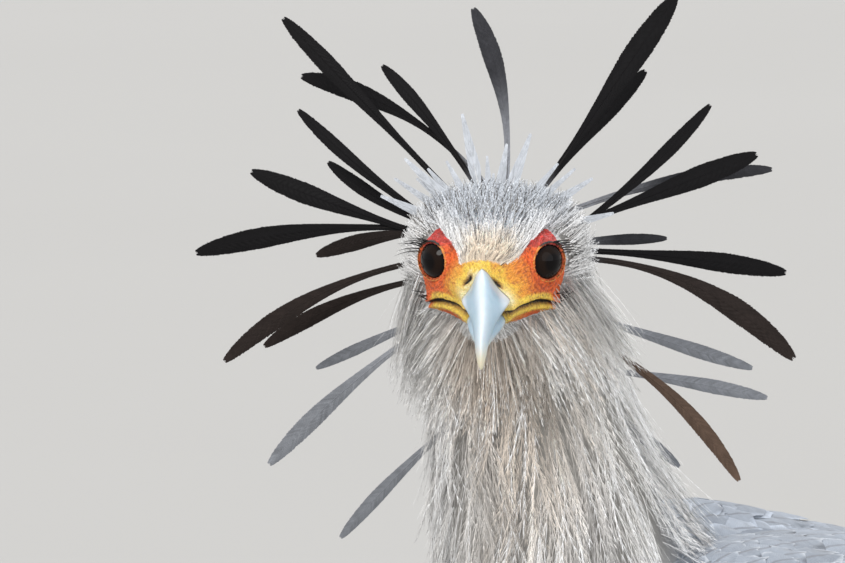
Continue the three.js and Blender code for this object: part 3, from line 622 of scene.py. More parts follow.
def barbed_feathers(name, frames, half_at, material, tone_at, root_map, barbs, slant, frayed, shaft,
                    shaft_tone, seed):
    """`half_at` and `tone_at` give half the width and the colour at a share of the length, `slant` is
    how far the barbs lean to the tip and `frayed` how uneven the edge is."""
    points, side, face = frames
    count, steps = points.shape[:2]
    lengths = np.linalg.norm(np.diff(points, axis=1), axis=2).sum(1)[:, None]
    draw = np.random.default_rng(seed)
    corners, tones, maps = [], [], []
    u = np.linspace(0, 1, BARB_SEGMENTS + 1)
    for sign in (-1.0, 1.0):
        start = np.linspace(0.012, 0.985, barbs) + draw.normal(0, 0.1 / barbs, (count, barbs))
        size = half_at(start) * (1 + draw.normal(0, frayed, (count, barbs)))
        ahead = np.minimum(slant * size / lengths, (1 - start) * 0.92 + 0.012)
        end = np.minimum(start + ahead, 1.0)
        reach = half_at(end) * (1 + draw.normal(0, 1, (count, barbs)) * frayed * (0.5 + 3 * end**4))
        t = start[..., None] + (end - start)[..., None] * u**0.85
        out = reach[..., None] * (1 - (1 - u) ** 1.5)
        p, s, f = (along_frames(part, t.reshape(count, -1)).reshape(*t.shape, 3) for part in frames)
        layer = (0.05 * (np.arange(barbs) % 3) - 0.05)[:, None, None]
        bow = -0.18 * (out**2 / np.maximum(half_at(t), 0.3))[..., None]
        middle = p + s * (sign * out)[..., None] + f * (bow + layer)
        thick = BARB_OVERLAP * lengths[..., None] / barbs * (1 - 0.5 * u)
        thick = thick * draw.uniform(0.85, 1.15, (count, barbs, 1))
        half_barb = np.cross(unit(np.gradient(middle, axis=2)), f) * thick[..., None] / 2
        corners.append(np.stack([middle - half_barb, middle + half_barb], 3))
        colour = tone_at(t) * (1 + draw.normal(0, 0.08, (count, barbs, 1, 1)))
        tones.append(np.repeat(colour[:, :, :, None], 2, axis=3))
        across = np.broadcast_to(0.5 + 0.5 * sign * u, t.shape)
        maps.append(np.repeat(np.stack([across, t], -1)[:, :, :, None], 2, axis=3))
    per = len(u) * 2
    barb_count = 2 * count * barbs
    faces = [repeated(grid_quads(len(u), 2), barb_count, per)]
    girth = (shaft / 2 * np.linspace(1, 0.22, steps))[:, None]
    rod = [points - side * girth, points - face * girth * 0.6, points + side * girth, points + face * girth]
    corners.append(np.stack(rod, 2))
    rod_faces = tube_faces(count, steps, 4)
    if np.sum(np.cross(side, np.gradient(points, axis=1)) * face) > 0:
        rod_faces = rod_faces[:, ::-1]
    faces.append(barb_count * per + rod_faces)
    t = np.broadcast_to(np.linspace(0, 1, steps)[None, :, None], (count, steps, 4))
    base = (1 - ramp(t, 0.05, 0.5))[..., None]
    tones.append(tone_at(t) * 1.1 * (1 - base) + np.array(shaft_tone) * base)
    maps.append(np.stack([np.full(t.shape, 0.5), t], -1))
    corners, tones, maps = (np.concatenate([part.reshape(-1, part.shape[-1]) for part in parts])
                            for parts in (corners, tones, maps))
    owner = np.arange(count)
    owner = np.concatenate([np.tile(np.repeat(owner, barbs * per), 2), np.repeat(owner, steps * 4)])
    piece = mesh_piece(name, corners, faces, material)
    return feathers_done(piece, root_map[owner], maps, np.clip(tones, 0, 1), np.clip(tones * 1.15, 0, 1))


def feather_half(t, root, most, peak, tip):
    """Half the width along a feather: narrow at the root, broadest at `peak`, rounded to the tip."""
    rise = root + (most - root) * np.sin(np.clip(t / peak, 0, 1) * math.pi / 2)
    fall = most * np.sqrt(np.clip(1 - ((t - peak) / (1 - peak)) ** 2 * (1 - tip**2), 0, 1))
    return np.where(t < peak, rise, fall)


# %% [markdown]
# ## Colours of the plumage
# The bird is pale: whitish on the face and throat, soft grey on the neck and body, blue-grey on the
# wings. Its flight feathers, lower belly and thighs are black. One function gives the body's colour at
# any place, and both the skin and the feathers over it ask that function, so a gap shows the same
# colour, only darker by painted shade. Head, neck, wings and tail have shades of their own.

# %% Plumage colours
WHITE = np.array([0.84, 0.84, 0.84])
GREY = np.array([0.42, 0.44, 0.47])
MANTLE = np.array([0.30, 0.33, 0.375])
BLACK = np.array([0.012, 0.011, 0.012])


def blend_to(a, b, share):
    """Goes from one colour to another, at every place by its own share."""
    share = np.clip(share, 0, 1)[..., None]
    return np.asarray(a) * (1 - share) + np.asarray(b) * share


def ramp(value, low, high):
    t = np.clip((value - low) / (high - low), 0, 1)
    return t * t * (3 - 2 * t)


def body_tone(points):
    """The colour of the plumage at a place in the bird's millimetres."""
    y, z = points[..., 1], points[..., 2]
    pale = blend_to(GREY, WHITE * 0.85, ramp(z, 700, 860) * ramp(-y, 95, 150))
    pale = blend_to(pale, MANTLE, ramp(z, 735, 790) * ramp(y, -140, -90))
    belly = ramp(-z, -700, -655) * ramp(y, -70, 10)
    vent = ramp(y, 90, 150) * ramp(-z, -740, -700)
    legs = ramp(-z, -650, -625)
    dark = np.maximum(np.maximum(belly, vent), legs)
    return blend_to(pale, BLACK, dark)


def varied(tones, amount, seed):
    """Each feather a little lighter or darker than its neighbours."""
    draw = np.random.default_rng(seed)
    return np.clip(tones * np.exp(draw.normal(0, amount, (len(tones), 1))), 0, 0.9)


# %% [markdown]
# ## Finishes
# Feathers scatter light softly and shine a little along their barbs. The material takes its colour
# from the feather's own paint, goes to the rim's colour near the edge and the tip, draws a fine shaft,
# and breaks the vane into slanting barbs that are also a low bump. Skin and horn are glossier.

# %% Material helpers


class Finish:
    """A new material with short ways to add to it. A value is a number, a colour or another socket."""

    def __init__(self, name, roughness, specular=0.5):
        self.material = bpy.data.materials.new(name)
        self.material.use_nodes = True
        self.inputs = self.material.node_tree.nodes["Principled BSDF"].inputs
        self.set(**{"Roughness": roughness, "Specular IOR Level": specular})

    def set(self, **values):
        for key, value in values.items():
            self.feed(self.inputs[key], value)

    def feed(self, socket, value):
        if isinstance(value, bpy.types.NodeSocket):
            self.material.node_tree.links.new(value, socket)
        elif isinstance(value, tuple):
            socket.default_value = (*value, 1)
        else:
            socket.default_value = value

    def add(self, kind, **settings):
        """A node. Each setting is one of its inputs or else one of its properties."""
        node = self.material.node_tree.nodes.new("ShaderNode" + kind)
        for key, value in settings.items():
            if key in node.inputs:
                self.feed(node.inputs[key], value)
            else:
                setattr(node, key, value)
        return node

    def sums(self, operation, *values):
        node = self.add("Math", operation=operation)
        for socket, value in zip(node.inputs, values):
            self.feed(socket, value)
        return node.outputs[0]

    def mix(self, share, a, b, blend="MIX"):
        node = self.add("Mix", data_type="RGBA", blend_type=blend)
        for place, value in ((0, share), (6, a), (7, b)):
            self.feed(node.inputs[place], value)
        return node.outputs[2]

    def painted(self, layer="tone"):
        return self.add("VertexColor", layer_name=layer).outputs[0]

    def texture(self, kind, **settings):
        """A texture that follows the place in the object, so that it has no seams."""
        return self.add("Tex" + kind, Vector=self.add("TexCoord").outputs["Object"], **settings).outputs[0]

    def bump(self, height, strength, distance):
        relief = self.add("Bump", Strength=strength, Distance=distance, Height=height)
        self.set(Normal=relief.outputs[0])


def grained(name, roughness, specular, scale, detail=4.0, share=0.0, colours=None, bump=None):
    """A finish with fine noise. It takes up a share of the painted colour, or lies between two colours;
    `bump` is the strength and depth of its relief."""
    finish = Finish(name, roughness, specular)
    grain = finish.texture("Noise", Scale=scale, Detail=detail)
    if colours:
        colour = finish.mix(grain, *colours)
    else:
        colour = finish.mix(share, finish.painted(), grain, "SOFT_LIGHT")
    finish.set(**{"Base Color": colour})
    if bump:
        finish.bump(grain, *bump)
    return finish


FULL_TURN = 6.283


def feather_material(name, roughness, barbs, edge, shaft, sheen=0.15, specular=0.3):
    """`barbs` lines cross the vane, the rim's colour starts at `edge` and `shaft` is the shaft's colour."""
    finish = Finish(name, roughness, specular)
    sums = finish.sums
    split = finish.add("SeparateXYZ", Vector=finish.add("UVMap", uv_map="Vane").outputs[0])
    across = sums("MULTIPLY", sums("ABSOLUTE", sums("SUBTRACT", split.outputs[0], 0.5)), 2.0)
    along = split.outputs[1]
    limits = {"From Min": edge, "From Max": 1.0}
    near_edge = finish.add("MapRange", Value=sums("MAXIMUM", across, sums("POWER", along, 4.0)), **limits)
    colour = finish.mix(near_edge.outputs[0], finish.painted(), finish.painted("rim"))
    slant = sums("SUBTRACT", sums("MULTIPLY", along, barbs), sums("MULTIPLY", across, barbs * 0.16))
    lines = sums("SINE", sums("MULTIPLY", slant, FULL_TURN))
    mottle = finish.texture("Noise", Scale=260.0, Detail=3.0)
    shade = sums("MULTIPLY_ADD", mottle, 0.5, sums("MULTIPLY_ADD", lines, 0.05, 0.75))
    scaled = finish.add("VectorMath", operation="SCALE")
    finish.feed(scaled.inputs[0], colour)
    finish.feed(scaled.inputs["Scale"], shade)
    colour = scaled.outputs[0]
    if shaft:
        limits = {"From Min": 0.03, "From Max": 0.09, "To Min": 0.6, "To Max": 0.0}
        colour = finish.mix(finish.add("MapRange", Value=across, **limits).outputs[0], colour, shaft)
    finish.set(**{"Base Color": colour, "Sheen Weight": sheen, "Sheen Roughness": 0.4})
    finish.bump(lines, 0.25, 0.0003)
    return finish.material


vane_finish = feather_material("closed feathers", 0.62, 34.0, 0.72, (0.16, 0.16, 0.17))
plume_finish = feather_material("loose feathers", 0.75, 6.0, 0.5, None, 0.3)
crest_finish = feather_material("crest feathers", 0.6, 60.0, 0.8, None, 0.0, 0.12)
print("feather finishes:", vane_finish.name, plume_finish.name, crest_finish.name)

# %% [markdown]
# ## Skin
# Under the feathers lies one closed skin from the head to the legs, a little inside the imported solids.
# It is made from seven lofted tubes that overlap, melted together by a voxel remesh, so that there is
# no seam where the neck leaves the shoulders, the thighs the belly or the wings the flanks.

# %% Skin

VOXEL, SMOOTHINGS = 0.0032, 6
THIGH_STATIONS = [354, 370, 395, 430, 470, 510, 550, 590, 630, 670, 700]
WING_STATIONS = [-180, -165, -140, -100, -60, -20, 20, 60, 110, 160, 200, 228]
TUBES = [
    ("torso", torso, 6.0, [-211, -200, -185, -160, -130, -90, -50, 0, 50, 90, 130, 170, 200, 218]),
    ("neck", neck, 7.0, [700, 740, 770, 800, 830, 860, 890, 915, 940, 955]),
    ("head", head, 3.5, [-34, -26, -18, -8, 4, 16, 28, 38, 45, 49]),
    ("left_thigh", thigh, 6.0, THIGH_STATIONS),
    ("right_thigh", thigh_right, 6.0, THIGH_STATIONS),
    ("left_wing", wing, 9.0, WING_STATIONS),
    ("right_wing", wing_right, 9.0, WING_STATIONS),
]
tubes = [lofted(word, form_rings(form, stations, depth)) for word, form, depth, stations in TUBES]
skin = fused("skin", tubes, VOXEL, SMOOTHINGS)


def as_bird(points):
    """Metres in the model's frame to the bird's millimetres."""
    return (np.asarray(points) - SHIFT) / MM


skin_places = as_bird(corners_of(skin))
# Painted shade: the skin is darker than the plumage over it, and darker and warmer still under the neck, so
# the gaps between feathers look deep.
neck_gap_shade = ramp(skin_places[:, 2], 730, 790)[:, None] * ramp(-skin_places[:, 1], 110, 140)[:, None]
paint(skin, "tone", body_tone(skin_places) * (0.85 - 0.3 * neck_gap_shade) * (1 - neck_gap_shade * [0.0, 0.04, 0.1]))
skin.data.materials.clear()
skin_finish = grained("skin under the plumage", 0.8, 0.2, 420.0, share=0.35, bump=(0.5, 0.001))
skin.data.materials.append(skin_finish.material)
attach(skin, "root")
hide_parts("head", "neck", "torso", "thigh_left", "thigh_right")
print("skin:", face_count(skin), "triangles")

# %% [markdown]
# ## The bare face
# Round the eyes and the base of the bill the skin is bare: orange and wrinkled, red on the brow, yellow
# towards the bill. It is a fine grid wrapped round the front of the head. Every feature is a push on
# that grid: lids swell over the eyeball, the brow bulges, lips run along the mouth, and folds circle
# the eye. Working on one fine grid keeps all of these in one unbroken skin.

# %% Face grid
FACE_ENDS = (-46.5, -2.0)
FACE_ROWS, FACE_COLUMNS = 120, 340
LID_RADIUS = 10.6
LID_OPENING = 7.8
LOOK_OUT = math.radians(42)
BOTH_SIDES = (1.0, -1.0)


def eye_centre(side):
    return EYE_AT * [side, 1, 1]


def look_of(side):
    return unit(np.array([side * math.sin(LOOK_OUT), -math.cos(LOOK_OUT), 0.04]))


def from_eye(points, side):
    """How far along the eye's axis each point lies, how far off it, and the vector from its centre."""
    away = points - eye_centre(side)
    ahead = away @ look_of(side)
    off = np.linalg.norm(away - ahead[..., None] * look_of(side), axis=-1)
    return ahead, off, away


def height_seen(local):
    """How high a place on the head looks to someone who faces the bird, a little from above."""
    return 0.97 * local[..., 2] - 0.242 * (-local[..., 1] - 18)


def crooked(local):
    """The face and bill sit a little to the right side of the head, as they do on this bird."""
    moved = np.array(local, float)
    y = moved[..., 1]
    amount = 1.2 + 1.8 * ramp(moved[..., 2], -12, 0) - 2.2 * np.exp(-((moved[..., 2] + 12) / 5.5) ** 2)
    moved[..., 0] -= amount * ramp(-y, 30, 38) * np.clip((y + 79) / 39, 0, 1)
    return moved


bare_top = [(0, 0.9), (4, 0.3), (8, -0.9), (10.3, -0.4), (11.7, 2.0), (14, 5.8), (16.2, 8.5), (18.3, 10.8),
            (20.5, 13.6), (23.3, 16.6), (26.2, 14.6), (29, 10.5), (32, 6), (35, 0)]
bare_bottom = [(0, -27), (4, -26), (9.5, -23.8), (16, -21.5), (20, -20.4), (24, -19.6), (28, -18.8),
               (30, -13), (33, -8)]
bare_rear = [(-28, -47), (-23, -43), (-21, -30), (-19, -17), (-17, -12), (-9, -8), (0, -5), (8, -6), (16, -8)]
bare_side = [(-20, 28), (-16, 29), (-9, 28), (-4, 29.5), (0, 30.5), (6, 30.5), (10, 30), (16, 29)]


def bareness(local):
    """How far inside the bare face a place lies, in millimetres; less than 0 is feathered."""
    x, h = np.abs(local[..., 0]), height_seen(local)
    under_brow = np.interp(x, *zip(*bare_top)) - h
    over_chin = h - np.interp(x, *zip(*bare_bottom))
    before_ear = np.interp(local[..., 2], *zip(*bare_rear)) - local[..., 1]
    within = np.interp(h, *zip(*bare_side)) - x
    return np.minimum(np.minimum(under_brow, over_chin), np.minimum(before_ear, within))


def head_tone(local):
    """The colour of the plumage on the head."""
    x, y, z = np.abs(local[..., 0]), local[..., 1], local[..., 2]
    tone = blend_to([0.76, 0.75, 0.735], [0.50, 0.525, 0.56], ramp(z, 7, 17) * ramp(y, -36, -16))
    tone = blend_to(tone, [0.68, 0.57, 0.45], ramp(-x, -14, -5) * ramp(-y, 18, 34) * ramp(z, -2, 4))
    return tone


mouth_line = smooth_table([
    (-47, -14.1), (-42, -13.1), (-36, -12.8), (-28, -13.3), (-22, -14.9), (-16, -17.4), (-11, -19)])
face, flat = grid_piece("face_skin", FACE_COLUMNS, FACE_ROWS)
station = FACE_ENDS[0] + (flat[:, 1] + 1) / 2 * (FACE_ENDS[1] - FACE_ENDS[0])
angle = math.pi * (flat[:, 0] - 0.5)
depth = -0.8 - 2.2 * ramp(station, -14, -4)
row = head.table(station)
local = np.zeros_like(flat)
squared = np.sign(np.cos(angle)) * np.abs(np.cos(angle)) ** 0.85
local[:, 0] = (row[:, 2] + depth) * squared
local[:, 1] = station
local[:, 2] = row[:, 1] + (row[:, 3] + depth) * np.sin(angle)
high = np.clip(np.sin(angle), 0, 1)
narrow = ramp(-station, 30, 45)
local[:, 0] *= 1 - 0.78 * narrow * high**1.2
middle_line = np.array([0.0, 0.0, -7.0]) + local * [0, 1, 0]
local += (middle_line - local) * (0.4 * ramp(-station, 44.6, 46.5))[:, None]
print("face grid:", len(flat), "corners")

# %% Lids, brow and lips


def pushed(points, normals, height):
    return points + normals * height[:, None]


outward = unit(local - np.stack([local[:, 0] * 0.25, local[:, 1] + 6, np.full(len(local), -6.0)], 1))
outward = unit(outward * [1, 0.5, 1])
# Painted shade: the mouth line, the nostrils and the hollows of the wrinkles are marked here to be painted
# dark brown, and black where deepest.
crease_shade = np.zeros(len(local))
for side in BOTH_SIDES:
    brow = local - np.array([side * 23, -18, 12.0])
    turn_brow = math.radians(side * 30)
    bx = brow[:, 0] * math.cos(turn_brow) - brow[:, 1] * math.sin(turn_brow)
    by = brow[:, 0] * math.sin(turn_brow) + brow[:, 1] * math.cos(turn_brow)
    swell = np.exp(-((bx / 5.5) ** 2 + (by / 11) ** 2 + (brow[:, 2] / 4.2) ** 2))
    brow = pushed(local, outward * [1, 0.4, 0.6], 5.6 * swell)
    local = local + (brow - local) * ramp(bareness(brow), -2.2, 0.6)[:, None]
    gape = (local - np.array([side * 24, -16, -19])) / [9, 8, 4.5]
    local = pushed(local, outward * [1.2, 0.3, 0.1], 5.0 * np.exp(-np.sum(gape**2, 1)))
for side in BOTH_SIDES:
    on_side = local[:, 0] * side > 3
    below = local[:, 2] - mouth_line(local[:, 1])[:, 0]
    reach = ramp(-local[:, 1], 11.5, 15) * on_side
    thick = 0.55 + 0.45 * ramp(-local[:, 1], 16, 28)
    under_lip = np.exp(-(((-below / thick - 2.2) / 1.4) ** 2)) * 1.3
    lips = under_lip + np.exp(-(((below / thick - 1.8) / 1.2) ** 2)) * 0.8
    local = pushed(local, outward, (lips - np.exp(-((below / 0.8) ** 2)) * 2.0) * reach)
    # Painted shade along the mouth line, black between the lips.
    crease_shade += np.exp(-((below / (0.35 + 0.6 * ramp(-local[:, 1], 12, 26))) ** 4)) * reach * 4
    slit = local - np.array([side * 6.0 + 1.0, -43.4, -1.2])
    slit_along = slit @ unit(np.array([side * -0.45, -0.2, 0.85]))
    slit_off = np.sqrt(np.maximum(np.sum(slit**2, 1) - slit_along**2, 0))
    pit = np.exp(-((slit_off / 1.35) ** 4) - (slit_along / 2.7) ** 4)
    local = pushed(local, outward, -2.2 * pit)
    # Painted shade in the nostril pits, black.
    crease_shade += pit * 9
for side in BOTH_SIDES:
    ahead, off, away = from_eye(local, side)
    near = (1 - ramp(off, 8.6, 13.5)) * (ahead > -1)
    radius = np.linalg.norm(away, axis=1)
    centre = eye_centre(side)
    local = local + (centre + away / radius[:, None] * LID_RADIUS - local) * near[:, None]
    ahead, off, away = from_eye(local, side)
    inside = (off < LID_OPENING) & (ahead > 0)
    local[inside] = centre + unit(away[inside]) * (EYE_RADIUS - 1.4)
print("lids stand", LID_RADIUS - EYE_RADIUS, "mm off the eye")

# %% Folds of the face


def noise_at(points, scale, seed):
    """Smooth noise at each point, from -1 to 1."""
    offset = Vector((seed * 7.3, seed * 3.1, seed * 5.7))
    return np.array([noise.noise(Vector(p) * scale + offset) for p in points])


grain = noise_at(local, 0.9, 1)
coarse = noise_at(local, 0.33, 2)
folds = np.zeros(len(local))
for side in BOTH_SIDES:
    ahead, off, away = from_eye(local, side)
    ring = ramp(off, LID_OPENING + 0.5, LID_OPENING + 1.4) * (1 - ramp(off, 10, 17)) * (ahead > -4)
    lower = 0.45 + 0.55 * ramp(-away[:, 2], -3, 4)
    folds += ring * lower * np.sin(off * 3.0 + coarse * 4.5 + grain)
pebbles = noise_at(local, 1.15, 3)
papillae = np.abs(noise_at(local, 0.75, 4)) * ramp(local[:, 2], 4, 9)
cere = ramp(-local[:, 1], 33, 40)
height = (0.34 * folds + 0.22 * grain + 0.34 * pebbles - 1.3 * papillae) * (1 - 0.8 * cere)
inside_eye = np.zeros(len(local), bool)
for side in BOTH_SIDES:
    ahead, off, away = from_eye(local, side)
    inside_eye |= (off < LID_OPENING) & (ahead > 0)
height[inside_eye] = 0
# Painted shade in the hollows of the relief.
crease_shade += np.clip(-height * 2.6, 0, 1.1)
local = pushed(local, outward, height)
welded(face, in_metres(from_head(crooked(local))))

# %% Colours of the face
ORANGE = np.array([0.78, 0.13, 0.02])
RED = np.array([0.68, 0.045, 0.035])
AMBER = np.array([0.76, 0.29, 0.03])
YELLOW = np.array([0.82, 0.56, 0.07])
CREAM = np.array([0.85, 0.76, 0.45])
DARK_FOLD = np.array([0.16, 0.02, 0.01])


def face_tone(points, crease_shade):
    x, y, z = points[:, 0], points[:, 1], points[:, 2]
    patchy = noise_at(points, 0.22, 5)
    fine = noise_at(points, 1.3, 6)
    tone = blend_to(ORANGE, AMBER, ramp(-y + 2.5 * patchy, 28, 36))
    tone = blend_to(tone, YELLOW, ramp(-y + 3 * patchy, 35, 41))
    tone = blend_to(tone, CREAM, ramp(-y + 4 * patchy + 2 * fine, 42, 46) * 0.85)
    tone = blend_to(tone, RED, ramp(height_seen(points) + 2 * patchy, 5.0, 8.5))
    below = np.abs(z - mouth_line(y)[:, 0])
    tone = blend_to(tone, YELLOW, (1 - ramp(below, 2.6, 4.4)) * ramp(-y, 17, 22))
    tone = tone * (1 + 0.3 * fine)[:, None]
    speckle = ramp(noise_at(points, 0.95, 7), 0.16, 0.42) * (1 - ramp(-y, 38, 44) * 0.7)
    tone = blend_to(tone, DARK_FOLD * 1.6, speckle * 0.5)
    beside_ridge = np.exp(-(((np.abs(x) - 8.5) / 2.6) ** 2 + ((z + 8) / 3.4) ** 2)) * ramp(-y, 37, 41)
    tone = blend_to(tone, CREAM * 1.05, beside_ridge * 0.8)
    # Painted shade in the creases: dark brown, and black in the mouth line and nostrils.
    tone = blend_to(tone, DARK_FOLD, np.minimum(crease_shade, 1) * 0.6)
    tone = blend_to(tone, [0.006, 0.004, 0.004], ramp(crease_shade, 2.2, 3.4))
    bare = bareness(points) + 0.8 * patchy + 0.5 * fine
    # Where feathers cover the grid it has the head's colour a little darker: painted shade under the plumes.
    return np.clip(blend_to(head_tone(points) * 0.92, tone, ramp(bare, -0.9, 0.5)), 0, 1)


shown = crooked(local)
tree = KDTree(len(shown))
for i, place in enumerate(shown):
    tree.insert(place, i)
tree.balance()
order = np.array([tree.find(place)[1] for place in to_head(as_bird(corners_of(face)))])
face_paint = face_tone(local, crease_shade)
# Inside the lid's opening, behind the eyeball, the grid is painted black: painted shade in the gap between
# lid and eye.
face_paint[inside_eye] = 0.01
paint(face, "tone", face_paint[order])
face_finish = Finish("bare face", 0.42, 0.5)
wrinkles = face_finish.texture("Noise", Scale=900.0, Detail=5.0, Roughness=0.6)
mixed = face_finish.mix(0.5, face_finish.painted(), wrinkles, "SOFT_LIGHT")
face_finish.set(**{"Base Color": mixed, "Subsurface Weight": 0.12, "Subsurface Scale": 0.002})
face_finish.inputs["Subsurface Radius"].default_value = (1.0, 0.3, 0.15)
pores = face_finish.texture("Voronoi", Scale=1500.0)
face_finish.bump(face_finish.sums("ADD", pores, wrinkles), 0.8, 0.0006)
face.data.materials.append(face_finish.material)
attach(face, "root")
print("face:", face_count(face), "triangles")

# %% [markdown]
# ## Eyes and lids
# A bird's eye is a ball set deep in the head, with only a round window of it showing. The ball is
# turned so that its pole looks out, and painted from the pole: a black pupil, a very dark brown iris
# and a black rim. A thin rolled lid closes the edge of the skin round it.

# %% Eyes


def turned_to(direction):
    """The rotation that brings +Z to a direction of the head's frame, as a matrix."""
    return np.array(Vector((0, 0, 1)).rotation_difference(Vector(direction)).to_matrix())


eye_finish = grained("eye", 0.04, 0.12, 2200.0, 2.0, share=0.3)
PUPIL = np.array([0.003, 0.002, 0.002])
IRIS = np.array([0.010, 0.005, 0.003])
LID_EDGE = np.array([0.012, 0.008, 0.007])
for side, word in zip(BOTH_SIDES, ("left", "right")):
    centre = eye_centre(side)
    turn = turned_to(look_of(side))
    ready()
    bpy.ops.mesh.primitive_uv_sphere_add(segments=64, ring_count=48, radius=1)
    ball = just_made("eyeball_" + word)
    unit_places = corners_of(ball)
    off_axis = np.degrees(np.arccos(np.clip(unit_places[:, 2], -1, 1)))
    bulge = 1 + 0.035 * np.exp(-((off_axis / 30) ** 2))
    bulged = unit_places * bulge[:, None] * (EYE_RADIUS - 0.05)
    set_corners(ball, in_metres(from_head(centre + bulged @ turn.T)))
    in_iris = ramp(off_axis, 20, 25) * (1 - ramp(off_axis, 38, 45))
    paint(ball, "tone", blend_to(PUPIL, IRIS, in_iris))
    bpy.ops.object.shade_smooth()
    ball.data.materials.append(eye_finish.material)
    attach(ball, "root")
    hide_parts("eye_" + word)

    ready()
    bpy.ops.mesh.primitive_torus_add(major_segments=96, minor_segments=14, major_radius=1, minor_radius=0.5)
    lid = just_made("lid_" + word)
    places = corners_of(lid)
    round_angle = np.arctan2(places[:, 1], places[:, 0])
    ring_radius = np.linalg.norm(places[:, :2], axis=1)
    tube = np.stack([(ring_radius - 1) * 2, places[:, 2] * 2], 1)
    crimp = 1 + 0.07 * np.sin(round_angle * 23 + 3 * np.sin(round_angle * 3) + 2 * np.sin(round_angle * 5))
    upper_edge = ramp(places @ (turn.T @ [side * 0.55, 0, 0.84]), 0.62, 0.86)
    rim_radius = LID_OPENING + 0.15
    rim_height = math.sqrt(EYE_RADIUS**2 - (LID_OPENING - 0.3) ** 2) + 0.5
    radial = rim_radius + tube[:, 0] * (0.34 + 0.06 * upper_edge) * crimp
    rise = rim_height + tube[:, 1] * 0.8 * crimp - 0.32 * (radial - rim_radius)
    lid_places = np.stack([np.cos(round_angle) * radial, np.sin(round_angle) * radial, rise], 1)
    set_corners(lid, in_metres(from_head(centre + lid_places @ turn.T)))
    inner = np.maximum(ramp(-tube[:, 0], 0.35, 0.8), upper_edge)
    # The lid is darker where its crimped folds dip: painted shade.
    lid_tone = blend_to([0.80, 0.30, 0.06], DARK_FOLD, 0.45 * ramp(-crimp, -1.0, -0.94))
    paint(lid, "tone", blend_to(lid_tone, LID_EDGE, inner))
    bpy.ops.object.shade_smooth()
    lid.data.materials.append(face_finish.material)
    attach(lid, "root")
print("eye balls of", EYE_RADIUS, "mm, openings of", 2 * LID_OPENING, "mm")

# %% [markdown]
# ## Bill
# The bill is a short hooked one. Its upper half has a ridge along the top and bends down over the
# lower half. We loft each half from a circle that is first pressed into the bill's own section, a
# pointed arch with a flat underside, and then extruded along the curve of the bill.

# %% Bill


OGIVE = [(0, 1), (0.08, 0.93), (0.2, 0.74), (0.35, 0.58), (0.52, 0.44), (0.72, 0.32), (0.88, 0.2), (1, 0)]


def arch_section(c, s, share):
    """The upper bill's section: a steep, slightly leaning ogive, and a round arch at the tip."""
    if s <= 0:
        return math.copysign(abs(c) ** 0.7, c), s * 0.42
    steep = np.interp(s, *zip(*OGIVE)) if c else 0.0
    round_width = abs(c) * (1 - 0.35 * s**1.15)
    steepness = 1 - ramp(share, 0.12, 0.42)
    return math.copysign(steep * steepness + round_width * (1 - steepness), c) - 0.16 * s * steepness, s


def bill_rings(rows):
    """Rings from rows of: along, up, tilt in degrees, height, half width, in the head's frame."""
    rings = []
    for along, up, tilt, tall, half in rows:
        lean = math.radians(tilt)
        upward = np.array([0, -math.sin(lean), math.cos(lean)]) * tall
        centre = in_metres(from_head(crooked([0.0, along, up])))
        rings.append((centre, np.array([half, 0, 0]) @ HEAD_TURN.T * MM, upward @ HEAD_TURN.T * MM))
    return rings


def bill_half(name, rows, section):
    rings = bill_rings(rows)
    ready()
    bpy.ops.mesh.primitive_circle_add(vertices=32, radius=1, fill_type="NGON")
    start = bpy.context.object
    circle = [tuple(corner.co) for corner in start.data.vertices]
    bpy.data.objects.remove(start)
    piece = lofted(name, rings, 32)
    corners = corners_of(piece)
    for k, ring in enumerate(rings):
        matrix = ring_matrix(*ring)
        for j, (c, s, _) in enumerate(circle):
            corners[k * 32 + j] = matrix @ Vector((*section(c, s, k / (len(rings) - 1)), 0))
    set_corners(piece, corners)
    piece.data.name = name
    modified(piece, "SUBSURF", levels=2, render_levels=2)
    bpy.ops.object.shade_smooth()
    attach(piece, "root")
    return piece


upper = bill_half("bill_upper_horn", [
    (-41, -7.9, 0, 12.3, 9.6),
    (-46, -8.0, 3, 12.5, 9.9),
    (-51, -8.2, 10, 11.6, 9.2),
    (-57, -9.4, 22, 9.8, 7.4),
    (-64, -12.0, 36, 7.8, 5.2),
    (-70, -16.2, 50, 6.3, 3.5),
    (-74.4, -20.6, 66, 4.8, 2.6),
    (-77.0, -24.4, 78, 3.2, 1.9),
    (-78.4, -27.2, 84, 1.7, 1.2),
    (-78.9, -28.8, 88, 0.5, 0.4),
], arch_section)
lower = bill_half("bill_lower_horn", [
    (-41, -16.6, 0, 4.2, 8.2),
    (-48, -17.0, 4, 4.0, 7.6),
    (-55, -17.8, 12, 3.7, 6.6),
    (-61, -19.2, 20, 3.2, 4.8),
    (-66, -21.0, 28, 2.4, 3.0),
    (-69.5, -22.8, 34, 1.0, 1.2),
], lambda c, s, share: (c, s))
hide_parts("bill_upper")
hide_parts("bill_lower")
HORN = np.array([0.36, 0.49, 0.58])
PALE_HORN_AND_HIGHLIGHT = np.array([0.74, 0.79, 0.82])
TIP_HORN = np.array([0.68, 0.63, 0.46])
horn_finish = grained("horn of the bill", 0.22, 0.5, 260.0, share=0.22, bump=(0.12, 0.0004))
horn_finish.set(**{"Subsurface Weight": 0.1, "Subsurface Scale": 0.002})
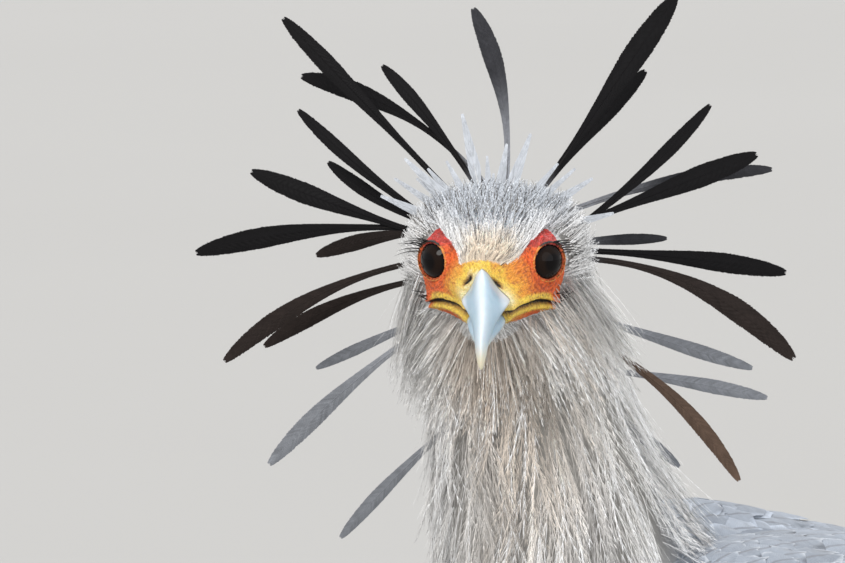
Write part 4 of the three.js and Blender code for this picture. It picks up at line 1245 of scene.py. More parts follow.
for piece in (upper, lower):
    local_places = to_head(as_bird(corners_of(piece)))
    across = np.abs(2 * local_places[:, 0] - crooked(local_places)[:, 0])
    # Paler along the ridge and at the flaring edges: partly the horn's own paler colour, partly a painted
    # highlight.
    tone = blend_to(HORN, PALE_HORN_AND_HIGHLIGHT, np.exp(-((across / 2.2) ** 2)) * 0.75)
    tone = blend_to(tone, PALE_HORN_AND_HIGHLIGHT, ramp(across, 6.0, 8.6) * 0.8)
    tone = blend_to(tone, TIP_HORN, ramp(-local_places[:, 2], 17, 26))
    tone = blend_to(tone, [0.03, 0.03, 0.03], 0.85 * (1 - ramp(-local_places[:, 1], 46.2, 46.8)))
    paint(piece, "tone", tone)
    piece.data.materials.append(horn_finish.material)
print("bill:", face_count(upper), "and", face_count(lower), "triangles")

# %% [markdown]
# ## Legs
# The bare shank is covered with scutes: broad plates down the front and small ones behind. We wrap a
# fine grid round the leg and raise each plate from it, so the edges between them are real grooves.
# The foot is lofted toe by toe, melted together, and then gets its plates the same way.

# %% Shanks
FOOT_SPREAD, FOOT_FORWARD = 54.0, 14.0
SHANK_ENDS = (22.0, 352.0)
shank_table = smooth_table([
    (14, 1, 10.5, 12),
    (34, 1, 8.6, 10.4),
    (90, 3, 7.6, 9),
    (200, 10, 7.6, 9.2),
    (285, 17, 9.5, 12),
    (322, 21.5, 12, 15),
    (335, 22, 12.2, 15),
    (360, 22, 10.6, 12),
])
SCUTE_TALL, SCUTES_ROUND = 8.0, 7


def plates(u, v, groove=0.14):
    """Height of rounded plates on a staggered grid: 1 on a plate, 0 in the groove between."""
    row = np.floor(v)
    shifted = u + 0.5 * (row % 2)
    du = np.abs(shifted - np.floor(shifted) - 0.5) * 2
    dv = np.abs(v - row - 0.5) * 2
    edge = np.maximum(du, dv)
    return 1 - ramp(edge, 1 - 2.2 * groove, 1.0)


scute_finish = grained("scaled leg", 0.5, 0.4, 520.0, share=0.4, bump=(0.35, 0.0005))
PINK = np.array([0.47, 0.30, 0.22])
PALE_SCUTE = np.array([0.60, 0.44, 0.34])
GROOVE_SHADE = np.array([0.20, 0.12, 0.09])


def scute_tone(height, seed, points):
    # Darker in the grooves between plates: painted shade.
    tone = blend_to(GROOVE_SHADE, PINK, height)
    return blend_to(tone, PALE_SCUTE, height * np.clip(0.5 + noise_at(points, 0.05, seed), 0, 1) * 0.8)


def shank_relief(share, height, behind):
    """Plates of the shank: broad in front, small behind and that much lower. `share` runs round it."""
    front = ramp(np.cos(math.pi * share), 0.1, 0.35)
    small = plates(share * SCUTES_ROUND, height / 4.2, 0.2) * behind
    return front * plates(share * 3.0 + 0.5, height / SCUTE_TALL) + (1 - front) * small


for side, word in zip(BOTH_SIDES, ("left", "right")):
    shank, flat = grid_piece("shank_scales_" + word, 84, 360)
    share = flat[:, 0]
    height = SHANK_ENDS[0] + (flat[:, 1] + 1) / 2 * (SHANK_ENDS[1] - SHANK_ENDS[0])
    row = shank_table(height)
    out = -0.9 + 0.85 * shank_relief(share, height, 0.7)
    welded(shank, in_metres(np.stack([
        side * (FOOT_SPREAD + (row[:, 1] + out) * np.sin(math.pi * share)),
        FOOT_FORWARD + row[:, 0] - (row[:, 2] + out) * np.cos(math.pi * share),
        height,
    ], 1)))
    now = as_bird(corners_of(shank))
    forward = FOOT_FORWARD + shank_table(now[:, 2])[:, 0] - now[:, 1]
    share = np.arctan2(np.abs(now[:, 0]) - FOOT_SPREAD, forward) / math.pi
    paint(shank, "tone", scute_tone(shank_relief(share, now[:, 2], 0.8), 11, now))
    shank.data.materials.append(scute_finish.material)
    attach(shank, "root")
    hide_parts("shank_" + word)
print("shank:", face_count(shank), "triangles each")

# %% [markdown]
# ## Feet and claws
# Three toes point forward and one back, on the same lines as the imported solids. Each toe is thick at
# the ankle and swells a little at its joints. The claws are short and blunt, for a bird that walks.

# %% Feet
TOES = {"inner": (-30, 50, 8.0), "middle": (2, 68, 8.4), "outer": (34, 52, 7.8), "hind": (172, 34, 7.0)}
CLAW_LENGTH = 19.0


def toe_axes(aim, side):
    aim = math.radians(aim)
    ahead = np.array([side * math.sin(aim), -math.cos(aim), 0])
    return ahead, np.array([-ahead[1], ahead[0], 0]), np.array([side * FOOT_SPREAD, FOOT_FORWARD + 2, 0])


def toe_rings(aim, length, radius, side):
    ahead, level, start = toe_axes(aim, side)
    rings = []
    for share in np.linspace(-0.1, 1.04, 12):
        knuckle = 1 + 0.09 * math.cos(share * 4 * math.pi)
        size = radius * (1.12 - 0.4 * share) * knuckle * (0.55 if share > 1 else 1) - 0.5
        centre = start + ahead * share * length + [0, 0, size * 0.86 + 0.1]
        rings.append((in_metres(centre), level * size * MM, np.array([0, 0, size * 0.86]) * MM))
    return rings


claw_finish = grained("claws", 0.35, 0.5, 300.0, colours=((0.015, 0.012, 0.011), (0.075, 0.062, 0.052)))
for side, word in zip(BOTH_SIDES, ("left", "right")):
    parts = [lofted("toe", toe_rings(*toe, side), 20) for toe in TOES.values()]
    ankle = []
    for z in (4, 10, 16, 24, 27):
        y, a, b = shank_table(z)
        centre = in_metres([side * FOOT_SPREAD, FOOT_FORWARD + y, z])
        ankle.append((centre, np.array([a, 0, 0]) * MM, np.array([0, b, 0]) * MM))
    parts.append(lofted("ankle", ankle, 24))
    foot = fused("foot_scales_" + word, parts, 0.0011, 3)
    points = as_bird(corners_of(foot))
    relief = np.zeros(len(points))
    for aim, length, radius in TOES.values():
        ahead, level, start = toe_axes(aim, side)
        run = (points - start) @ ahead
        off = (points - start) @ level
        on_toe = (run > 8) & (run < length + 6) & (np.abs(off) < radius * 1.2)
        bands = plates(np.full(len(points), 0.5), run / 5.2, 0.16)
        upper_side = ramp(points[:, 2], 3.5, 6)
        relief = np.where(on_toe, np.maximum(relief, bands * upper_side + (1 - upper_side) * 0.6), relief)
    around = np.arctan2(points[:, 0] - side * FOOT_SPREAD, points[:, 1] - FOOT_FORWARD)
    relief = np.where(relief > 0, relief, plates(around * 2.2, points[:, 2] / 5.0, 0.2))
    normals = np.zeros(len(points) * 3)
    foot.data.vertices.foreach_get("normal", normals)
    raised = points + normals.reshape(-1, 3) * (0.7 * relief - 0.35)[:, None]
    raised[:, 2] = np.maximum(raised[:, 2], 0.02)
    set_corners(foot, in_metres(raised))
    paint(foot, "tone", scute_tone(relief, 12, raised))
    foot.data.materials.clear()
    foot.data.materials.append(scute_finish.material)
    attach(foot, "root")
    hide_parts("foot_" + word)
    for name, (aim, length, radius) in TOES.items():
        ahead, level, start = toe_axes(aim, side)
        rings = []
        for share in np.linspace(-0.25, 1, 9):
            size = 3.9 * (1 - 0.8 * max(share, 0) ** 1.2)
            drop = 6.2 - 3.4 * max(share, 0) ** 2
            centre = start + ahead * (length + 1 + share * (CLAW_LENGTH - 1)) + [0, 0, drop]
            rings.append((in_metres(centre), level * size * 0.8 * MM, np.array([0, 0, size]) * MM))
        claw = lofted("claw_horn_" + word + "_" + name, rings, 14)
        modified(claw, "SUBSURF", levels=1, render_levels=1)
        bpy.ops.object.shade_smooth()
        claw.data.name = claw.name
        claw.data.materials.append(claw_finish.material)
        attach(claw, "root")
        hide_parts("claw_" + word + "_" + name)
print("foot:", face_count(foot), "triangles each")

# %% [markdown]
# ## Crest
# The crest is built feather by feather. Each one starts on the nape behind the eyes and fans out round
# the line of sight: its table row says how high its root is, where its tip shows across and up, how
# far it bows, how far back the tip lies, half its greatest width, and its colour. The vane is a narrow
# stalk that broadens into a spoon, made of separate barbs that overlap. The last three rows are low
# feathers of the nape, rooted further to its left.

# %% Crest feathers
NAPE_DEPTH = 46.0
CREST_BLACK = np.array([0.004, 0.0035, 0.004])
CREST_BROWN = np.array([0.022, 0.016, 0.014])
CREST_DUSK = np.array([0.030, 0.030, 0.034])
CREST_TAWNY = np.array([0.11, 0.072, 0.052])
CREST_GREY = np.array([0.21, 0.22, 0.24])
K, B, D, T, G = CREST_BLACK, CREST_BROWN, CREST_DUSK, CREST_TAWNY, CREST_GREY
CREST = [
    (1, -84, 92, 0, 64, 3.6, K), (18, -77, 69, 9, 98, 4.0, K), (9, -44, 73, 2.5, 72, 2.9, K),
    (-6, -78, 55, -4, 74, 2.7, K), (0, -66, 34, -5, 86, 2.8, K), (-4, -97, 30, -2, 68, 4.2, K),
    (3, -119.5, -3, 7, 76, 4.2, K), (4, -71, -4, 5, 110, 3.2, B), (-4, -108, -47, 12, 82, 3.6, B),
    (-11, -92, -41, 8, 96, 3.2, B), (-18, -71, -50, 1, 110, 2.2, G), (-15, -90, -89, 5, 94, 3.6, G),
    (6, -7, 97, 8, 112, 3.8, D), (-3, 75, 101, 0, 68, 5.0, K), (-2, 63, 71, 2.2, 82, 3.6, K),
    (-13, 89, 57, -5, 70, 2.8, K), (-4, 108, 37, 0, 72, 4.4, K), (0, 114.5, 31, 7, 90, 3.0, D),
    (-2, 72, 3, 1, 104, 2.2, D), (-2, 120, -11, 3, 82, 3.9, K), (-8, 123, -46, 17, 74, 4.6, B),
    (-17, 107, -50, 0, 110, 2.8, G), (-25, 101, -95.5, 13, 84, 3.0, T),
    (-50, -61, -119, 3, 104, 2.7, G), (-47, 113, -62, 2, 108, 2.8, G), (-52, 77, -90, 4, 96, 2.4, G),
]
NAPE_FEATHERS, CREST_ASIDE, NAPE_ASIDE = 3, 3, 12


def towards_viewer(points):
    """Frames of feathers whose faces look along the line of sight, from the fan's own frame."""
    points, side, face = framed(points, [0.0, -1.0, 0.0])
    return from_fan(points), side @ FAN_TURN.T, face @ FAN_TURN.T


def fan_frames(rows, steps, sideways):
    """Frames of feathers that fan out round the line of sight."""
    t = np.linspace(0, 1, steps)
    points = []
    for (root, across, up, arch, back, *_), start_x in zip(rows, sideways):
        start = np.array([start_x, NAPE_DEPTH, root], float)
        chord = np.array([across, back, up], float) - start
        towards_top = np.array([-chord[2] * np.sign(chord[0]), 0, abs(chord[0])])
        towards_top = towards_top / math.hypot(chord[0], chord[2])
        points.append(start + chord * t[:, None] + towards_top * (4 * arch * t * (1 - t))[:, None])
    return towards_viewer(np.array(points))


def crest_half(t, most, stalk=1.0):
    spoon = stalk + (most - stalk) * ramp(t, 0.34, 0.82) ** 1.3
    return spoon * np.sqrt(np.clip(1 - np.clip((t - 0.76) / 0.24, 0, 1) ** 2.0 * 0.96, 0, 1))


def fan_map(rows, across=0, up=1):
    """Places on the skin's unwrap for feathers of the nape, by where they show."""
    return np.array([[0.5 + 0.4 * row[across] / 130, 0.5 + 0.4 * row[up] / 130] for row in rows])


def per_feather(values, t, *last):
    """One value for each feather, shaped to go with shares of any shape."""
    return np.reshape(values, (-1, *[1] * (np.ndim(t) - 1), *last))


CREST_STEPS = 44
PALE_ROOT = np.array([0.36, 0.37, 0.40])
crest_sideways = [CREST_ASIDE] * (len(CREST) - NAPE_FEATHERS) + [NAPE_ASIDE] * NAPE_FEATHERS
crest_most = np.array([row[5] for row in CREST])
crest_tones = np.array([row[6] for row in CREST])
pale_reach = np.where(crest_tones[:, 2] > crest_tones[:, 0] + 0.002, 0.72, 0.34)


def crest_width(t):
    return crest_half(t, per_feather(crest_most, t))


def crest_colour(t):
    """Dark towards the tip and paler on the stalk, which is pale for longer on the greyer feathers."""
    pale = (1 - ramp(np.asarray(t, float) / per_feather(pale_reach, t), 0.45, 1.0))[..., None] * 0.6
    return per_feather(crest_tones, t, 3) * (1 - pale) + PALE_ROOT * pale


barbed_feathers("crest_feathers", fan_frames(CREST, CREST_STEPS, crest_sideways), crest_width,
                crest_finish, crest_colour, fan_map(CREST, 1, 2), barbs=300, slant=1.9, frayed=0.012,
                shaft=0.9, shaft_tone=(0.05, 0.045, 0.04), seed=32)

# %% [markdown]
# Short grey spikes stand up from the crown between the long feathers, and pale fluff round their
# roots. A row gives where the tip shows across and up, how far back it lies and half the width.

# %% Crown spikes and fluff
SPIKES = [
    (-11.6, 53, 46, 3.0), (-34.8, 35, 42, 2.8), (-25.5, 31, 46, 2.4), (6.4, 41, 48, 2.6), (16, 45, 44, 2.9),
    (41, 27, 44, 2.8), (-44.4, 20, 48, 2.8), (-1.6, 36, 42, 2.0), (49.6, 13, 50, 2.8), (-18, 34, 40, 2.0),
    (27, 33, 42, 2.0), (34, 31, 46, 1.8), (-39, 27, 44, 2.0), (1, 29, 38, 1.8), (-30, 27, 40, 1.8),
]
SPIKE_GREY = np.array([0.44, 0.46, 0.49])
TUFTS = 230


def spike_frames(rows, steps):
    t = np.linspace(0, 1, steps)[None, :, None]
    start = np.array([[x * 0.4, back - 16, up * 0.42] for x, up, back, _ in rows])[:, None]
    tip = np.array([[x, back, up] for x, up, back, _ in rows])[:, None]
    return towards_viewer(start + (tip - start) * t)


def spike_width(t):
    return per_feather([row[3] for row in SPIKES], t) * (0.05 + 0.95 * np.clip(1 - t, 0, 1) ** 0.85)


def spike_colour(t):
    return np.broadcast_to(SPIKE_GREY, (*np.shape(t), 3))


barbed_feathers("crown_spikes", spike_frames(SPIKES, 16), spike_width, plume_finish, spike_colour,
                fan_map(SPIKES), barbs=60, slant=3.6, frayed=0.0, shaft=0.8, shaft_tone=(0.6, 0.6, 0.6),
                seed=34)
draw = np.random.default_rng(35)
angle = draw.normal(0, 0.62, TUFTS)
tall = draw.uniform(14, 24, TUFTS) * (0.86 + 0.14 * np.cos(angle))
rows = np.stack([tall * 1.35 * np.sin(angle), tall * np.cos(angle), draw.uniform(32, 52, TUFTS), tall], 1)
tones = varied(np.tile([0.56, 0.57, 0.59], (TUFTS, 1)), 0.15, 36)
plume_feathers("crown_fluff", spike_frames(rows, 8), draw.uniform(3, 5, TUFTS), tones,
               np.clip(tones * 1.25, 0, 0.88), fan_map(rows), spread=0.45, width=0.2, shaft=0.3, seed=36)
print("crown:", len(SPIKES), "spikes and", TUFTS, "tufts")

# %% [markdown]
# ## Head feathers
# The head is covered with short loose feathers that run back from the bill over the crown and cheeks.
# They are tiny near the bare skin and grow longer behind. The bare face is left open: a rule says where
# on the head it lies, and no feather is rooted there.

# %% Head feathers
HEAD_STEPS, HEAD_MAP = 5, (-60, 120, 0.5)


def shifted(points):
    """Places on the head moved as the crooked face is."""
    return from_head(crooked(to_head(points)))


def off_the_face(points, allowed=0.3):
    """Which feathers, given in the bird's frame, leave the bare face free past their roots."""
    return ~(bareness(to_head(points[:, 2:])) > allowed).any(1)


def head_feathers(name, stations, spacing, angles, length, lift, seed, barb=1.6, width=0.2, streak=None):
    """Loose feathers on the head. `streak` is a colour for all of them; else they take the head's."""
    where = rows_on(head, stations, spacing, angles, seed, 0.4)
    draw = np.random.default_rng(seed)
    count = len(where)
    long_ = length(where[:, 0]) * draw.uniform(0.75, 1.2, count)
    rise = lift(where[:, 0]) * draw.uniform(0.5, 1.4, count)
    off = -1.2 + (rise[:, None] + 1.2) * np.linspace(0, 1, HEAD_STEPS) ** 0.8
    frames = laid(head, where, long_, draw.normal(0, 0.06, count), off, HEAD_STEPS)
    frames = tilted(frames, draw.normal(0, 0.3, count))
    roots = to_head(frames[0][:, 0])
    in_neck = neck.inside(frames[0][:, -1], -4) & (roots[:, 2] < -12) & (roots[:, 1] > -6)
    open_ = (bareness(roots) < 0.3) & ~in_neck & off_the_face(frames[0])
    open_ &= roots[:, 1] > np.where(roots[:, 2] > 0, -41.5, -40)
    where, frames = where[open_], kept(frames, open_)
    frames = (shifted(frames[0]), *frames[1:])
    tones = varied(head_tone(to_head(frames[0][:, 0])), 0.2, seed + 1)
    tones = tones * np.where(draw.random(len(where)) < 0.13, 0.4, 1.0)[:, None]
    if streak is not None:
        tones = varied(np.tile(streak, (len(where), 1)), 0.3, seed + 2)
    plume_feathers(name, frames, barb * (0.6 + 0.4 * long_[open_] / 12), tones,
                   np.clip(tones * 1.3, 0, 0.85), root_places(where, *HEAD_MAP), spread=0.42, width=width,
                   shaft=0.3, seed=seed)


head_feathers("forehead_and_crown", np.arange(-41.5, 44, 1.6), 1.6, (0.1, math.pi - 0.1),
              lambda y: 4.4 + 7.5 * ramp(y, -38, 10), lambda y: 0.8 + 2.6 * ramp(y, -32, 25), 41)
head_feathers("cheeks_and_chin", np.arange(-40, 44, 1.8), 1.7, (math.pi - 0.16, 2 * math.pi + 0.16),
              lambda y: 7 + 12 * ramp(y, -36, 0), lambda y: 1.4 + 2.6 * ramp(y, -30, 5), 43,
              barb=2.3, width=0.24)
head_feathers("crown_streaks", np.arange(-40, 16, 4.6), 4.2, (0.35, math.pi - 0.35),
              lambda y: 7.5 + 5 * ramp(y, -38, 0), lambda y: 2.0 + 2.2 * ramp(y, -32, 10), 49,
              barb=0.7, width=0.16, streak=[0.085, 0.075, 0.065])

# %% [markdown]
# The bare face ends in short feathers that grow from the face's own skin, since brow, lids and lips
# stand out from the head's smooth form. Above the mouth they run back; below it they hang and spread.

# %% Feathers round the face
EDGE_STEPS = 6


def rim_feathers(name, count, low, high, seed):
    """Feathers rooted just outside the bare face, between two heights; they thin out away from it."""
    draw = np.random.default_rng(seed)
    edge = bareness(local) + 0.5 * draw.normal(0, 1, len(local)).clip(-1, 1)
    free = (edge < -0.1) & (edge > -11) & (local[:, 2] >= low) & (local[:, 2] < high) & (local[:, 1] < -6)
    free = np.flatnonzero(free)
    likely = np.exp(np.maximum(edge[free], -9) / 3.5)
    root = draw.choice(free, count, replace=False, p=likely / likely.sum())
    normal = outward[root]
    start = local[root] - normal * 0.5
    hanging = ramp(-start[:, 2], 12, 19)[:, None]
    run = np.array([0.0, 1.0, 0.12]) + hanging * (start / [22, 1e9, 1e9] + [0, -0.7, -1.1])
    run = run + draw.normal(0, 0.1, (count, 3))
    run = unit(run - normal * np.sum(run * normal, 1, keepdims=True))
    long_ = (3.6 + 4 * ramp(start[:, 1], -38, -12)) * draw.uniform(0.7, 1.2, count)
    long_ = (long_[:, None] * (1 + 0.9 * hanging))[:, None]
    t = np.linspace(0, 1, EDGE_STEPS)[None, :, None]
    lift = (0.35 + 0.4 * draw.random((count, 1)))[:, None] * long_
    points = start[:, None] + run[:, None] * (long_ * t) + normal[:, None] * (lift * t**0.8)
    points = from_head(crooked(points))
    clear = off_the_face(points, 0.6)
    start, normal, points = start[clear], normal[clear], points[clear]
    count = len(points)
    frames = framed(points, (normal @ HEAD_TURN.T)[:, None])
    tones = varied(head_tone(start), 0.2, seed + 1) * np.where(draw.random(count) < 0.12, 0.45, 1.0)[:, None]
    around = np.arctan2(start[:, 2] + 6, start[:, 0])
    plume_feathers(name, tilted(frames, draw.normal(0, 0.3, count)), 1.7, tones,
                   np.clip(tones * 1.25, 0, 0.88), root_places(np.stack([start[:, 1], around], 1), *HEAD_MAP),
                   spread=0.36, width=0.2, shaft=0.3, seed=seed)


rim_feathers("brow_and_cheek_edge", 2300, -14, 30, 45)
rim_feathers("brow_edge", 500, 9, 30, 46)
rim_feathers("chin_edge", 2300, -40, -14, 47)

# %% [markdown]
# ## Lashes
# Secretary birds have long black lashes. Each is one thin bristle, curved and tapered to a point: nine
# over each eye, and five behind each corner of the mouth.

# %% Lashes
LASH_STEPS, LASH_SIDES = 6, 4


def bristles(name, roots, directions, bends, lengths, width, material, tone):
    """Tapered, curved bristles with four sides."""
    t = np.linspace(0, 1, LASH_STEPS)[None, :, None]
    roots, directions, bends = (np.asarray(v, float)[:, None] for v in (roots, directions, bends))
    lengths = np.asarray(lengths)[:, None, None]
    points = roots + unit(directions) * lengths * t + bends * lengths * t**2
    along = unit(np.gradient(points, axis=1))
    side = unit(np.cross(along, [0.3, 0.2, 1.0]))[:, :, None]
    other = np.cross(along[:, :, None], side)
    angle = (np.arange(LASH_SIDES) * 2 * math.pi / LASH_SIDES)[:, None]
    thick = (width / 2 * (1 - 0.9 * t))[..., None]
    rings = points[:, :, None] + (side * np.cos(angle) + other * np.sin(angle)) * thick
    count = len(roots)
    piece = mesh_piece(name, rings.reshape(-1, 3), [tube_faces(count, LASH_STEPS, LASH_SIDES)], material)
    places = np.stack([np.linspace(0.1, 0.9, count)] * 2, 1)
    patch = np.stack(np.meshgrid(np.linspace(0, 1, LASH_SIDES), np.linspace(0, 1, LASH_STEPS)), -1)
    map_corners(piece, "OFBake", (places[:, None] + patch.reshape(-1, 2) * BAKE_PATCH).reshape(-1, 2))
    paint(piece, "tone", np.tile(tone, (count * LASH_STEPS * LASH_SIDES, 1)))
    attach(piece, "root")


lash_finish = Finish("lashes", 0.45, 0.4)
lash_finish.set(**{"Base Color": lash_finish.painted()})
roots, directions, bends, lengths = [], [], [], []
draw = np.random.default_rng(51)
for side in BOTH_SIDES:
    centre = eye_centre(side)
    for degrees in np.linspace(16, 66, 9):
        around = math.radians(degrees)
        out_on_head = np.array([side * math.cos(around), 0, math.sin(around)])
        axis = look_of(side)
        radial = unit(out_on_head - axis * (out_on_head @ axis))
        root = centre + radial * (LID_OPENING + 0.3) + axis * 6.6
        roots.append(shifted(from_head(root)))
        direction = radial * 0.6 + axis * 0.35 + [side * 0.7, 0, 0.05] + draw.normal(0, 0.09, 3)
        directions.append(direction @ HEAD_TURN.T)
        bends.append(np.array([side * 0.1, 0.1, -0.36]) @ HEAD_TURN.T)
        lengths.append((4.5 + 4 * math.cos(around)) * draw.uniform(0.8, 1.2))
    for _ in range(5):
        root = np.array([side * draw.uniform(25, 28), draw.uniform(-17, -13), draw.uniform(-16, -12)])
        roots.append(from_head(root))
        directions.append(np.array([side * 0.8, 0.3, draw.uniform(-0.1, 0.3)]) @ HEAD_TURN.T)
        bends.append(np.array([0, 0.1, 0.15]) @ HEAD_TURN.T)
        lengths.append(draw.uniform(3, 7))
bristles("lashes", roots, directions, bends, lengths, 0.6, lash_finish.material, [0.012, 0.010, 0.010])
print("lashes:", len(roots))

# %% [markdown]
# ## Neck and throat
# The neck wears long, loose plumes that hang down it and lift a little at their tips. Plumes near one
# another meet in a lock, which has its own lift, bend and shade, and the locks lie in broader swathes.
# With one plume in ten almost white, that makes the streaks.

# %% Neck plumes
NECK_STEPS, NECK_MAP = 9, (650, 320)
LOCKS, SWATHES = 260, 34
BRIGHT_SHARE = 0.1
BACK_TOP, BREAST_SIDE = 830, -128


def neck_tone(points):
    x, y, z = points[..., 0], points[..., 1], points[..., 2]
    around = np.arctan2(x, -(y + 160))
    # Painted shade: the front of the upper neck goes warm beige-brown, the colour of the shade between its
    # plumes.
    front = np.exp(-((around - 0.5) / 0.55) ** 2)
    tone = blend_to([0.70, 0.685, 0.665], [0.52, 0.43, 0.34], front * ramp(z, 805, 900) * 0.75)
    return blend_to(tone, [0.55, 0.57, 0.60], ramp(-z, -830, -740) * 0.7)


def gathered(where, locks, share, seed):
    """How far round each plume should drift so that plumes near one another meet in a lock."""
    draw = np.random.default_rng(seed)
    places = np.stack([draw.uniform(where[:, 0].min(), where[:, 0].max(), locks),
                       draw.uniform(0, 2 * math.pi, locks)], 1)
    gap = (where[:, None, 1] - places[None, :, 1] + math.pi) % (2 * math.pi) - math.pi
    far = (gap * 42) ** 2 + ((where[:, None, 0] - places[None, :, 0]) * 0.45) ** 2
    nearest = far.argmin(1)
    return -gap[np.arange(len(where)), nearest] * share, nearest


def neck_plumes(name, stations, spacing, length, tip_lift, barb, seed):
    """Plumes down the neck. Behind they end above the back, and none shows through back or wings."""
    where = rows_on(neck, stations, spacing, (0, 2 * math.pi), seed, 0.5)
    draw = np.random.default_rng(seed)
    count = len(where)
    t = np.linspace(0, 1, NECK_STEPS)
    pull, lock = gathered(where, LOCKS, 0.75, seed + 3)
    swathe = gathered(where, SWATHES, 0.0, seed + 7)[1]
    lock_rise = draw.uniform(0.2, 1.5, LOCKS)[lock] * draw.uniform(0.5, 1.4, SWATHES)[swathe]
    lock_shade = draw.normal(0, 0.14, LOCKS)[lock] + draw.normal(-0.05, 0.16, SWATHES)[swathe]
    lock_bend = draw.normal(0, 0.09, LOCKS)[lock] + draw.normal(0.05, 0.1, SWATHES)[swathe]
    rise = tip_lift * lock_rise * np.exp(draw.normal(0, 0.25, count))
    off = -4.0 + 4.0 * np.minimum(t * 3, 1) + rise[:, None] * t**1.6
    long_ = length * draw.uniform(0.75, 1.2, count)
    above_back = np.maximum(where[:, 0] - BACK_TOP, 9)
    long_ = np.where(np.sin(where[:, 1]) > 0.1, np.minimum(long_, above_back), long_)
    frames = laid(neck, where, -long_, pull + lock_bend + draw.normal(0, 0.04, count), off, NECK_STEPS)
    frames = tilted(frames, draw.normal(0, 0.3, count))
    outer = frames[0][:, NECK_STEPS // 2:]
    hidden = mantle.inside(outer, 2) | wing.inside(outer, -1) | wing_right.inside(outer, -1)
    open_ = ~head.inside(frames[0][:, 0], -3) & ~torso.inside(outer[:, -1], -8)
    open_ &= ~(hidden & (outer[..., 1] > BREAST_SIDE)).any(1)
    tones = varied(neck_tone(frames[0][:, 0]) * np.exp(lock_shade)[:, None], 0.24, seed + 1)
    tones[draw.random(count) < BRIGHT_SHARE] = 0.86 * WHITE / WHITE.max()
    where, frames, tones = where[open_], kept(frames, open_), tones[open_]
    plume_feathers(name, frames, barb * draw.uniform(0.7, 1.2, len(where)), tones,
                   np.clip(tones * 1.25, 0, 0.9), root_places(where, *NECK_MAP), spread=0.28, width=0.22,
                   shaft=0.34, seed=seed)


neck_plumes("upper_neck_plumes", np.arange(938, 862, -4.2), 3.5, 32, 5.0, 6.0, 61)
neck_plumes("lower_neck_plumes", np.arange(862, 740, -4.4), 3.9, 42, 6.5, 7.5, 63)

# %% [markdown]
# Longer plumes stream from the head over the top of the neck. They follow its side, or hang clear of
# it, and part to left and right under the chin.

# %% Hanging plumes
HANGING_STEPS = 12


def hanging_plumes(name, count, stations, angles, lengths, seed, free=0.0, barb=4.2, bright=False, crowd=1):
    """Plumes from the head over the neck. `free` ones hang clear of it, `bright` ones are almost white,
    and a high `crowd` draws their roots together at the last station."""
    draw = np.random.default_rng(seed)
    low, high = stations
    where = np.stack([high - (high - low) * draw.random(count) ** crowd, draw.uniform(*angles, count)], 1)
    start = head.at(where[:, 0], where[:, 1], -1.0 if crowd == 1 else 1.5)
    local = to_head(start)
    open_ = (bareness(local) < 0) & (local[:, 2] < np.where(local[:, 1] > 25, 18, -7))
    where, start, local = where[open_], start[open_], local[open_]
    count = len(where)
    outward = unit(head.at(where[:, 0], where[:, 1], 1.0) - start)
    fan = local[:, :1] / 24 * (0.25 + 0.75 * ramp(-local[:, 1:2], 4, 26))
    fan = fan + draw.standard_t(4, (count, 1)) * 0.09
    long_ = draw.uniform(*lengths, count)[:, None] * (1 - 0.3 * np.minimum(np.abs(fan), 1))
    lower = start[:, 2] - long_[:, 0] * 0.9
    from_axis = start[:, :2] - neck.table(lower)[:, :2]
    target = neck.at(lower, np.arctan2(from_axis[:, 1], from_axis[:, 0]), 2.0)
    to_neck = unit(target - start)
    fall = to_neck + ([0, 0, -1.0] - to_neck) * free + HEAD_TURN[:, 0] * fan * (0.75 + 0.35 * free)
    fall = unit(fall)
    middle = start + outward * draw.uniform(2, 4, (count, 1)) + fall * long_ * 0.4
    tip = start + outward * draw.uniform(0, 3, (count, 1)) + fall * long_
    t = np.linspace(0, 1, HANGING_STEPS)[None, :, None]
    points = (1 - t) ** 2 * start[:, None] + 2 * t * (1 - t) * middle[:, None] + t**2 * tip[:, None]
    clear = ~(bareness(to_head(points)) > 0.2).any(1)
    where, local, points, outward = where[clear], local[clear], points[clear], outward[clear]
    count = len(where)
    frames = tilted(framed(points, outward[:, None]), draw.normal(0, 0.3, count))
    tones = head_tone(local) * [1, 0.995, 0.985]
    # Painted shade: under the chin, in the middle of the throat, the plumes go beige-brown.
    throat_shade = np.exp(-((local[:, 0] / 12) ** 2)) * ramp(-local[:, 1], 5, 25)
    tones = varied(blend_to(tones, [0.52, 0.42, 0.33], throat_shade * 0.75), 0.24, seed + 1)
    if bright:
        tones = varied(np.tile([0.84, 0.82, 0.78], (count, 1)), 0.08, seed + 1)
    plume_feathers(name, frames, barb, tones, np.clip(tones * 1.25, 0, 0.9), root_places(where, *HEAD_MAP),
                   spread=0.24, width=0.2, shaft=0.34, seed=seed)


hanging_plumes("chin_plumes", 2600, (-41, -12), (1.02 * math.pi, 1.98 * math.pi), (10, 30), 69, free=0.75)
hanging_plumes("throat_plumes", 3600, (-40, 14), (0.98 * math.pi, 2.02 * math.pi), (22, 46), 65)
hanging_plumes("throat_shafts", 700, (-38, -4), (1.05 * math.pi, 1.95 * math.pi), (16, 38), 66, free=0.9,
               barb=1.3, bright=True)
hanging_plumes("nape_plumes", 1300, (26, 50), (0, 2 * math.pi), (16, 34), 67)
# Just short of the head's last station, where all angles meet.
HEAD_POLE = HEAD_ENDS[1] - 1e-7
hanging_plumes("nape_middle_plumes", 520, (47, HEAD_POLE), (0, 2 * math.pi), (18, 30), 68, crowd=7)

# %% [markdown]
# ## Body feathers
# The breast, back, flanks and belly have small closed feathers in staggered rows that point to the
# tail. Over them goes a thinner coat of loose plumes, which takes away the look of scales.

# %% Body feathers
BODY_MAP = (-220, 460)


